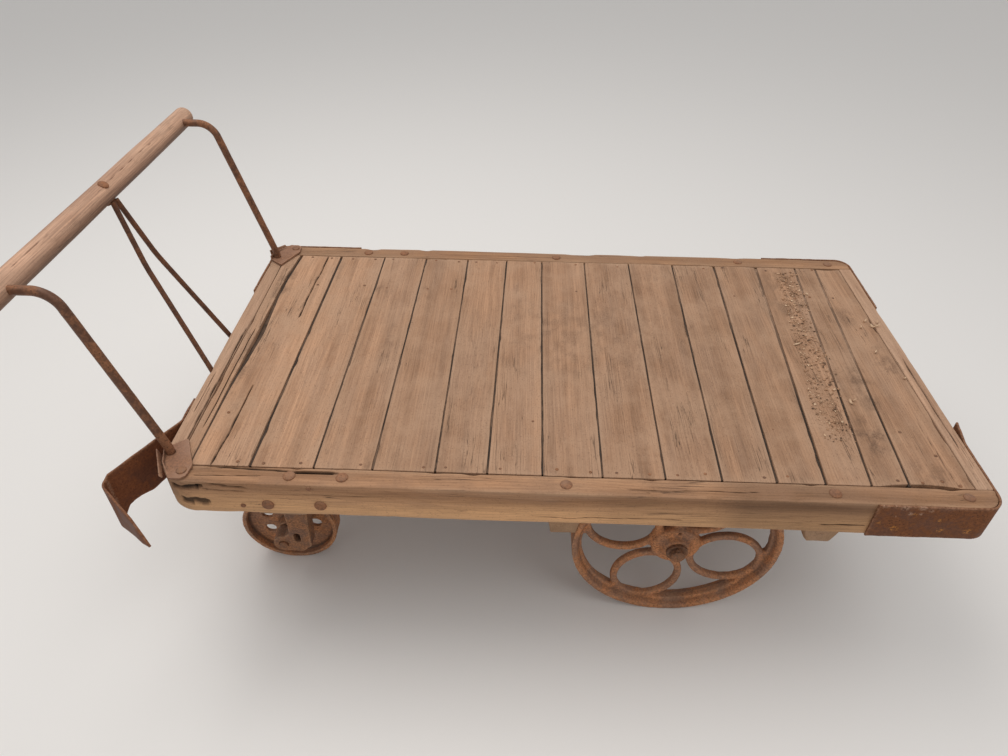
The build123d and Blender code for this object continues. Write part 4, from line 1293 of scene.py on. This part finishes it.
def wheelLoops(wheel):
    lap = np.linspace(0, math.tau, wheel["lapCount"], endpoint=False)
    ring = np.linspace(0, math.tau, wheel["ringCount"], endpoint=False)
    across = squarish(np.cos(ring), wheel["squareness"]) * wheel["bandHalf"]
    deep = squarish(np.sin(ring), wheel["squareness"]) * wheel["webHalf"]
    long, wide = wheel["loopLength"], wheel["loopWidth"]
    line = np.stack([wheel["loopCentre"] + long * np.cos(lap), wide * np.sin(lap)], axis=1)
    outward = np.stack([wide * np.cos(lap), long * np.sin(lap)], axis=1)
    outward /= np.linalg.norm(outward, axis=1, keepdims=True)
    flat = line[:, None] + outward[:, None] * across[None, :, None]
    faces = [gridFaces(len(lap), len(ring), closeRows=True)]
    shells = []
    for count in range(wheel["loops"]):
        turn = math.radians(wheel["firstTurn"] + 360 / wheel["loops"] * count)
        x = flat[..., 0] * math.cos(turn) - flat[..., 1] * math.sin(turn)
        z = flat[..., 0] * math.sin(turn) + flat[..., 1] * math.cos(turn)
        grid = np.stack([x, np.broadcast_to(deep, x.shape), z], axis=-1)
        shells.append((grid.reshape(-1, 3), faces))
    return shells


wheelShells = hubAndRim(bigWheel) + wheelLoops(bigWheel)
points, faces, attributes = castSkin(*mergeParts(wheelShells), bigWheel["cast"], 501)
oil = bigWheel["oilHole"]
bored = smoothStep(*oil["edge"], np.hypot(points[:, 0] - oil["x"], points[:, 2] - oil["z"]))
bored = bored * (points[:, 1] < oil["beyond"])
points[:, 1] += oil["depth"] * bored
attributes["hollow"] = np.maximum(attributes["hollow"], bored)
for sideName, side in sides.items():
    # the far wheel is the near one after half a turn about the vertical
    placed = points * (-side, -side, 1) + np.array(bigWheel["centre"]) * (1, side, 1)
    makePiece(f"bigWheel_{sideName}", placed, faces, wheelIron, "wheel_iron", [f"big_wheel_{sideName}"],
              attributes, f"wheel_{sideName}")

print("wheels made")

# Corner bands: straps with eased, slightly ragged edges
straps = {
    "thickness": 0.0045, "bottom": -0.088, "step": 0.0028, "counts": (1, 34, 1, 34), "round": 0.0012,
    "ragged": 0.0010, "buckle": 0.0007, "bend": 0.03625, "endX": 0.81525, "sideY": 0.45925,
    "start": 0.57525, "stop": 0.21925, "edgeReach": 0.0022, "endReach": 0.003, "raggedScale": 70,
    "buckleScales": (16, 14),
}
endX, sideY = straps["endX"], straps["sideY"]
bandPaths = {
    "rear_near": [(straps["start"], -sideY), (endX, -sideY), (endX, -0.28625), (0.82725, -straps["stop"])],
    "rear_far": [(straps["start"], sideY), (endX, sideY), (endX, straps["stop"])],
    "handle_far": [(-straps["start"], sideY), (-endX, sideY), (-endX, straps["stop"])],
}
# on the near rear band, rust run from bolts long gone and scrapes down to pale metal: place
# along x, height, size
bandMarks = {
    "behind": -0.455, "longer": 1.25, "fade": (1.15, 0.55), "broken": 0.35, "brokenScale": 320,
    "stain": [(0.622, -0.062, 0.008), (0.711, -0.063, 0.007), (0.764, -0.065, 0.007),
              (0.647, -0.020, 0.005), (0.700, -0.036, 0.004), (0.590, -0.048, 0.004)],
    "scrape": [(0.586, -0.001, 0.005), (0.605, -0.001, 0.004), (0.624, -0.004, 0.006),
               (0.657, -0.003, 0.006), (0.639, -0.018, 0.005), (0.660, -0.019, 0.004),
               (0.675, -0.009, 0.004), (0.612, -0.028, 0.003)],
}


def markAmount(points, marks):
    # spots on the near face, each broken up by noise
    total = np.zeros(len(points))
    broken = bandMarks["broken"] * valueNoise(points * bandMarks["brokenScale"], 31)
    for x, z, size in marks:
        away = np.hypot((points[:, 0] - x) / (size * bandMarks["longer"]), (points[:, 2] - z) / size)
        total = np.maximum(total, smoothStep(*bandMarks["fade"], away + broken))
    return total * (points[:, 1] < bandMarks["behind"])


def sideMarks(points, reach):
    return {kind: markAmount(points, bandMarks[kind]) for kind in ("stain", "scrape")}


def makeStrap(name, node, path, hand, low, high, seed, material, strap, extra=None):
    # hand: which side of the path looks outwards; low and high: the edges at each reach along it
    reach = pathReach(path)
    tangent = pathTangent(path)
    outside = hand * np.stack([tangent[:, 1], -tangent[:, 0]], axis=1)
    place, facing = sectionLoop(strap["counts"], 3)
    ragged = strap["ragged"] * half01(lineNoise(reach, strap["raggedScale"], seed))
    low = low(reach) + ragged
    high = high(reach) - ragged[::-1]
    halfDeep = (high - low)[:, None] / 2
    eased = strap["round"]
    beside = place[:, 0] * (strap["thickness"] / 2 - eased) + facing[:, 0] * eased
    upward = place[:, 1] * (halfDeep - eased) + facing[:, 1] * eased + (high + low)[:, None] / 2
    reachGrid = np.repeat(reach[:, None], len(place), axis=1)
    scaleAlong, scaleUp = strap["buckleScales"]
    buckle = valueNoise(np.stack([reachGrid * scaleAlong, upward * scaleUp, 0 * upward], axis=-1), seed + 1)
    beside = beside[None, :] - strap["buckle"] * half01(buckle)
    flat = path[:, None] + outside[:, None] * beside[..., None]
    fromEdge = (1 - np.abs(place[:, 1])) * halfDeep
    fromEnd = np.minimum(reachGrid, reach[-1] - reachGrid)
    edge = np.maximum(np.exp(-fromEdge / strap["edgeReach"]), np.exp(-fromEnd / strap["endReach"]))
    points, faces = closedGrid(np.concatenate([flat, upward[..., None]], axis=-1))
    attributes = {"edge": withPoles(edge, 1.0)}
    if extra:
        attributes.update(extra(points, withPoles(reachGrid)))
    makePiece(name, *outwards(points, faces), material, "band_steel", [node], attributes)


for number, (which, corners) in enumerate(bandPaths.items()):
    path = roundedPath(corners, [straps["bend"]] * (len(corners) - 2), straps["step"])
    makeStrap(f"cornerBand_{which}", f"corner_band_{which}", path, -1 if which == "rear_far" else 1,
              evenSide(straps["bottom"]), evenSide(0.0), 601 + 3 * number, bandIron, straps,
              sideMarks if which == "rear_near" else None)

# The torn band: its lower edge hangs in a wave up to the fold, behind it a tapering tail. Both
# edges and the fold are given by their reach along a band that is 0.412 long and are drawn out to
# the path's own length.
tornBand = {
    "corners": [(-0.81525, -0.215), (-0.81525, -0.285), (-0.85225, -0.352), (-0.90950, -0.4605),
                (-0.79025, -0.5585)],
    "bends": (0.018, 0.018, 0.014), "givenLength": 0.412, "fold": 0.2530, "foldAmount": 0.55,
    "foldFade": (0.0045, 0.001), "foldWander": 0.002, "foldScale": 90,
    "high": [(0.0, 0.0), (0.245, -0.001), (0.255, -0.008), (0.268, -0.012), (0.317, -0.023),
             (0.365, -0.027), (0.384, -0.040), (0.398, -0.052), (0.412, -0.066)],
    "low": [(0.0, -0.088), (0.066, -0.089), (0.144, -0.107), (0.178, -0.110), (0.204, -0.102),
            (0.219, -0.100), (0.232, -0.102), (0.243, -0.1145), (0.255, -0.133), (0.262, -0.131),
            (0.342, -0.099), (0.380, -0.088), (0.412, -0.072)],
}
tornStrap = dict(straps, step=0.0025, buckle=0.0012, ragged=0.0014)
path = roundedPath(tornBand["corners"], tornBand["bends"], tornStrap["step"])
tornReach = pathReach(path)[-1]


def tornEdge(stops):
    place, value = np.array(stops).T
    return lambda reach: np.interp(reach, place * tornReach / tornBand["givenLength"], value)


def creaseMark(points, reach):
    # the fold's bare line, paler where the skin has flaked
    fold = tornBand["fold"] * tornReach / tornBand["givenLength"]
    away = np.abs(reach - fold) + tornBand["foldWander"] * valueNoise(points * tornBand["foldScale"], 33)
    return {"scrape": tornBand["foldAmount"] * smoothStep(*tornBand["foldFade"], away)}


makeStrap("cornerBand_torn", "corner_band_handle_near", path, 1, tornEdge(tornBand["low"]),
          tornEdge(tornBand["high"]), 651, tornIron, tornStrap, creaseMark)

print("bands made, torn band", round(tornReach, 4), "long")

# Bolts and nuts: facing, size as radius and height, shape, places. What is on both sides has its
# places and facing for the far side and is mirrored for the near one.
def spread(xs, ys, z):
    # places at one height, each x with each y
    return [(x, y, z) for x in xs for y in ys]


upwards, downwards, sideways = (0, 0, 1), (0, 0, -1), (0, 1, 0)
heads = {
    "turn": 0.4,
    "bothSides": [
        (upwards, (0.012, 0.0042), "dome", spread((-0.549, -0.446, -0.012, 0.502), [0.4325], -0.0012)),
        (upwards, (0.011, 0.0042), "dome", [(0.755, 0.4325, -0.0012)]),
        (sideways, (0.012, 0.0042), "dome", [(-0.595, 0.4565, -0.060), (-0.491, 0.4565, -0.058)]),
        (sideways, (0.005, 0.0018), "dome", [(-0.507, 0.4562, -0.010), (-0.645, 0.4562, -0.065)]),
        (upwards, (0.010, 0.0045), "dome", [(-0.758, 0.433, 0.0055)]),
        (downwards, (0.011, 0.009), "hex", spread((-0.0105, 0.5015), [0.255], -0.1895)),
        (downwards, (0.008, 0.006), "hex", spread((0.185, 0.322), (0.241, 0.269), -0.2035)),
        (downwards, (0.008, 0.006), "hex", spread((-0.683, -0.557), (0.173, 0.279), -0.2175)),
    ],
    # on the bands' legs that the picture does not show
    "bandSize": (0.008, 0.0035), "bandHeights": (-0.024, -0.064),
    "bandPlaces": [(0.817, 0.400), (0.817, 0.270), (-0.817, 0.400), (-0.817, 0.270), (0.817, -0.400)],
    "farSize": (0.008, 0.0006), "farPlaces": spread((0.615, 0.740, -0.615, -0.740), [0.4608], -0.044),
}
headRows = []
for side in sides.values():
    for facing, size, shape, places in heads["bothSides"]:
        outward = (0, side * facing[1], facing[2])
        headRows += [((x, side * y, z), outward, *size, shape) for x, y, z in places]
for x, y in heads["bandPlaces"]:
    outward = (math.copysign(1, x), 0, 0)
    headRows += [((x, y, z), outward, *heads["bandSize"], "dome") for z in heads["bandHeights"]]
headRows += [(place, sideways, *heads["farSize"], "dome") for place in heads["farPlaces"]]
headShells = [headShell(*row, turn=heads["turn"] * number) for number, row in enumerate(headRows)]
makePiece("bolts", *mergeParts(headShells), boltIron, "band_steel")

# Deck nails: each row crosses the boards, and by chance a nail is left at either side of a board
nails = {
    "rows": ((-0.396, 0.5), (-0.255, 0.3), (0.255, 0.3), (0.396, 0.5)), "shares": (0.22, 0.78),
    "shift": 0.006, "leastBoard": 0.045, "height": -0.0016, "size": (0.0034, 0.0009),
    "extraSize": (0.0036, 0.0010), "extra": [(0.722, -0.391), (0.739, -0.321), (0.752, -0.402)],
}
nailRandom = np.random.default_rng(17)


def nailShell(x, y, size):
    return headShell((x, y, nails["height"]), (0, 0, 1), *size, "dome", around=10)


nailShells = []
for board in deckEdges:
    for row, chance in nails["rows"]:
        low, high = (board[which](np.array([row]))[0] for which in ("low", "high"))
        for share in nails["shares"]:
            if high - low > nails["leastBoard"] and nailRandom.random() < chance:
                aside, ahead = nailRandom.uniform(-nails["shift"], nails["shift"], 2)
                nailShells.append(nailShell(low + share * (high - low) + aside, row + ahead, nails["size"]))
nailShells += [nailShell(x, y, nails["extraSize"]) for x, y in nails["extra"]]
makePiece("deckNails", *mergeParts(nailShells), axleSteel, "band_steel")

print("fasteners set:", len(headRows), "heads,", len(nailShells), "nails")

# Loose grit and torn wood on the deck near the rear, between two edges given as stops of y and x
crumbs = {
    "count": 1500, "size": (0.0006, 0.0032), "small": 3, "top": -0.0012, "lift": 0.4,
    "across": (-0.29, 0.385), "spread": (1.3, 1.6), "stretch": (0.5, 1.6), "flat": 0.7, "tones": (1.5, 1.6),
    "left": [(-0.283, 0.529), (-0.134, 0.531), (0.005, 0.555), (0.381, 0.593)],
    "right": [(-0.274, 0.591), (-0.051, 0.626), (0.071, 0.627), (0.384, 0.655)],
}


def makeCrumbs():
    # each crumb is a stretched octahedron, turned by chance
    random = np.random.default_rng(23)
    count = crumbs["count"]
    y = random.uniform(*crumbs["across"], count)
    left, right = (np.interp(y, *np.array(crumbs[edge]).T) for edge in ("left", "right"))
    share = random.beta(*crumbs["spread"], count)
    least, most = crumbs["size"]
    size = least + (most - least) * random.random(count) ** crumbs["small"]
    place = np.stack([left + share * (right - left), y, crumbs["top"] + crumbs["lift"] * size], axis=1)
    turn = random.uniform(0, math.tau, count)[:, None]
    stretch = random.uniform(*crumbs["stretch"], (count, 3)) * (1, 1, crumbs["flat"])
    tips = np.array([(1, 0, 0), (0, 1, 0), (-1, 0, 0), (0, -1, 0), (0, 0, 1), (0, 0, -1)], float)
    local = tips[None] * stretch[:, None] * size[:, None, None]
    x = local[..., 0] * np.cos(turn) - local[..., 1] * np.sin(turn)
    beside = local[..., 0] * np.sin(turn) + local[..., 1] * np.cos(turn)
    points = (np.stack([x, beside, local[..., 2]], axis=-1) + place[:, None]).reshape(-1, 3)
    upper = [(0, 1, 4), (1, 2, 4), (2, 3, 4), (3, 0, 4)]
    lower = [(second, first, 5) for first, second, _ in upper]
    shift = len(tips) * np.arange(count)[:, None, None]
    faces = [(np.array(upper + lower)[None] + shift).reshape(-1, 3)]
    tone = np.repeat(random.beta(*crumbs["tones"], count), len(tips))
    makePiece("crumbs", points, faces, looseCrumbs, "deck_wood", attributes={"tone": tone})


makeCrumbs()

# Splinters: place, turn, length, radius, how far the ends curl up, tone
chips = [
    ((0.561, 0.045), 0.4, 0.022, 0.0024, 0.001, 1.1), ((0.634, 0.286), 1.2, 0.008, 0.0030, 0.000, 1.3),
    ((0.650, 0.271), 2.2, 0.007, 0.0028, 0.000, 1.3), ((0.783, 0.130), 0.2, 0.016, 0.0026, 0.007, 0.9),
    ((0.772, 0.127), 2.4, 0.014, 0.0026, 0.006, 1.0), ((0.790, 0.146), 1.3, 0.012, 0.0022, 0.005, 0.8),
    ((0.760, 0.150), 0.7, 0.013, 0.0024, 0.006, 0.9), ((0.742, 0.123), 1.1, 0.012, 0.0022, 0.004, 0.8),
    ((0.741, 0.021), 0.9, 0.011, 0.0024, 0.003, 0.9), ((0.620, -0.168), 2.0, 0.015, 0.0026, 0.007, 0.9),
    ((0.628, -0.160), 0.5, 0.012, 0.0024, 0.005, 0.8), ((0.772, -0.076), 0.6, 0.010, 0.0024, 0.003, 0.85),
    ((0.592, -0.243), 1.4, 0.014, 0.0026, 0.003, 0.1),
]


def chipShell(place, turn, length, radius, curl):
    # a short, flattened splinter, tapered at both ends and bowed off the deck
    share = np.linspace(-1, 1, 9)
    along = share * length / 2
    path = np.stack([place[0] + along * math.cos(turn), place[1] + along * math.sin(turn),
                     curl * share ** 2 + radius * 0.5], axis=1)
    return closedGrid(carryRound(path, radius * np.sqrt(1.02 - share ** 2)[:, None], 8, flatten=0.6))


chipShells = [chipShell(*chip[:-1]) for chip in chips]
tone = np.concatenate([np.full(len(shell[0]), chip[-1]) for shell, chip in zip(chipShells, chips)])
makePiece("chips", *mergeParts(chipShells), looseCrumbs, "deck_wood", attributes={"tone": tone})

print("grit laid")

# CAD nodes that stay seen keep their shape and get their material
for nodeName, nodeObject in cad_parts.items():
    if not nodeObject.hide_render:
        nodeObject.data.materials.clear()
        nodeObject.data.materials.append(axleSteel)
        print("kept", nodeName)

# Camera: fitted to the platform's four corners in the picture
camera = {
    "place": (-0.111, -1.374, 1.037), "yaw": -1.44, "pitch": 39.486, "roll": 0.775, "focalPixels": 719.4,
    "pictureWidth": 1008, "sensor": 36.0,
}
yaw, pitch, roll = (math.radians(camera[key]) for key in ("yaw", "pitch", "roll"))
forward = Vector((math.sin(yaw) * math.cos(pitch), math.cos(yaw) * math.cos(pitch), -math.sin(pitch)))
right = Vector((math.cos(yaw), -math.sin(yaw), 0.0))
up = right.cross(forward)
rolledRight = math.cos(roll) * right + math.sin(roll) * up
rolledUp = -math.sin(roll) * right + math.cos(roll) * up
cameraData = bpy.data.cameras.new("camera")
cameraData.sensor_fit = "HORIZONTAL"
cameraData.sensor_width = camera["sensor"]
cameraData.lens = camera["focalPixels"] * camera["sensor"] / camera["pictureWidth"]
cameraObject = addObject("camera", cameraData)
turned = Matrix((rolledRight, rolledUp, -forward)).transposed().to_4x4()
cameraObject.matrix_world = Matrix.Translation(camera["place"]) @ turned
bpy.context.scene.camera = cameraObject

# Floor, world and lamps
studio = {
    "floorHalf": 30.0, "floorColor": (0.80, 0.785, 0.77), "floorRoughness": 0.5,
    "worldStrength": 0.55, "worldColor": (1.0, 0.985, 0.97),
    "lamps": [
        {"place": (-1.3, 0.6, 3.2), "size": 2.6, "power": 62.0, "color": (1.0, 0.97, 0.93)},
        {"place": (1.6, -1.2, 3.4), "size": 2.8, "power": 34.0, "color": (1.0, 0.98, 0.96)},
    ],
}
floorMesh = bpy.data.meshes.new("floor")
floorCorners = [(x * studio["floorHalf"], y * studio["floorHalf"], floorHeight)
                for x, y in ((-1, -1), (1, -1), (1, 1), (-1, 1))]
floorMesh.from_pydata(floorCorners, [], [(0, 1, 2, 3)])
floorMaterial, _, floorShader = newMaterial("paleFloor")
floorShader["Base Color"].default_value = rgba(studio["floorColor"])
floorShader["Roughness"].default_value = studio["floorRoughness"]
floorMesh.materials.append(floorMaterial)
addObject("floor", floorMesh)

world = bpy.data.worlds.new("studio")
world.use_nodes = True
background = world.node_tree.nodes["Background"].inputs
background["Color"].default_value = rgba(studio["worldColor"])
background["Strength"].default_value = studio["worldStrength"]
bpy.context.scene.world = world

for number, lamp in enumerate(studio["lamps"]):
    # an area lamp turned towards the middle of the deck
    lampData = bpy.data.lights.new(f"lamp{number + 1}", "AREA")
    lampData.energy = lamp["power"]
    lampData.size = lamp["size"]
    lampData.color = lamp["color"]
    turned = (-Vector(lamp["place"])).to_track_quat("-Z", "Y").to_matrix().to_4x4()
    addObject(lampData.name, lampData).matrix_world = Matrix.Translation(lamp["place"]) @ turned

bpy.context.scene.view_settings.view_transform = "Standard"

bpy.context.view_layer.update()
print("scene ready")
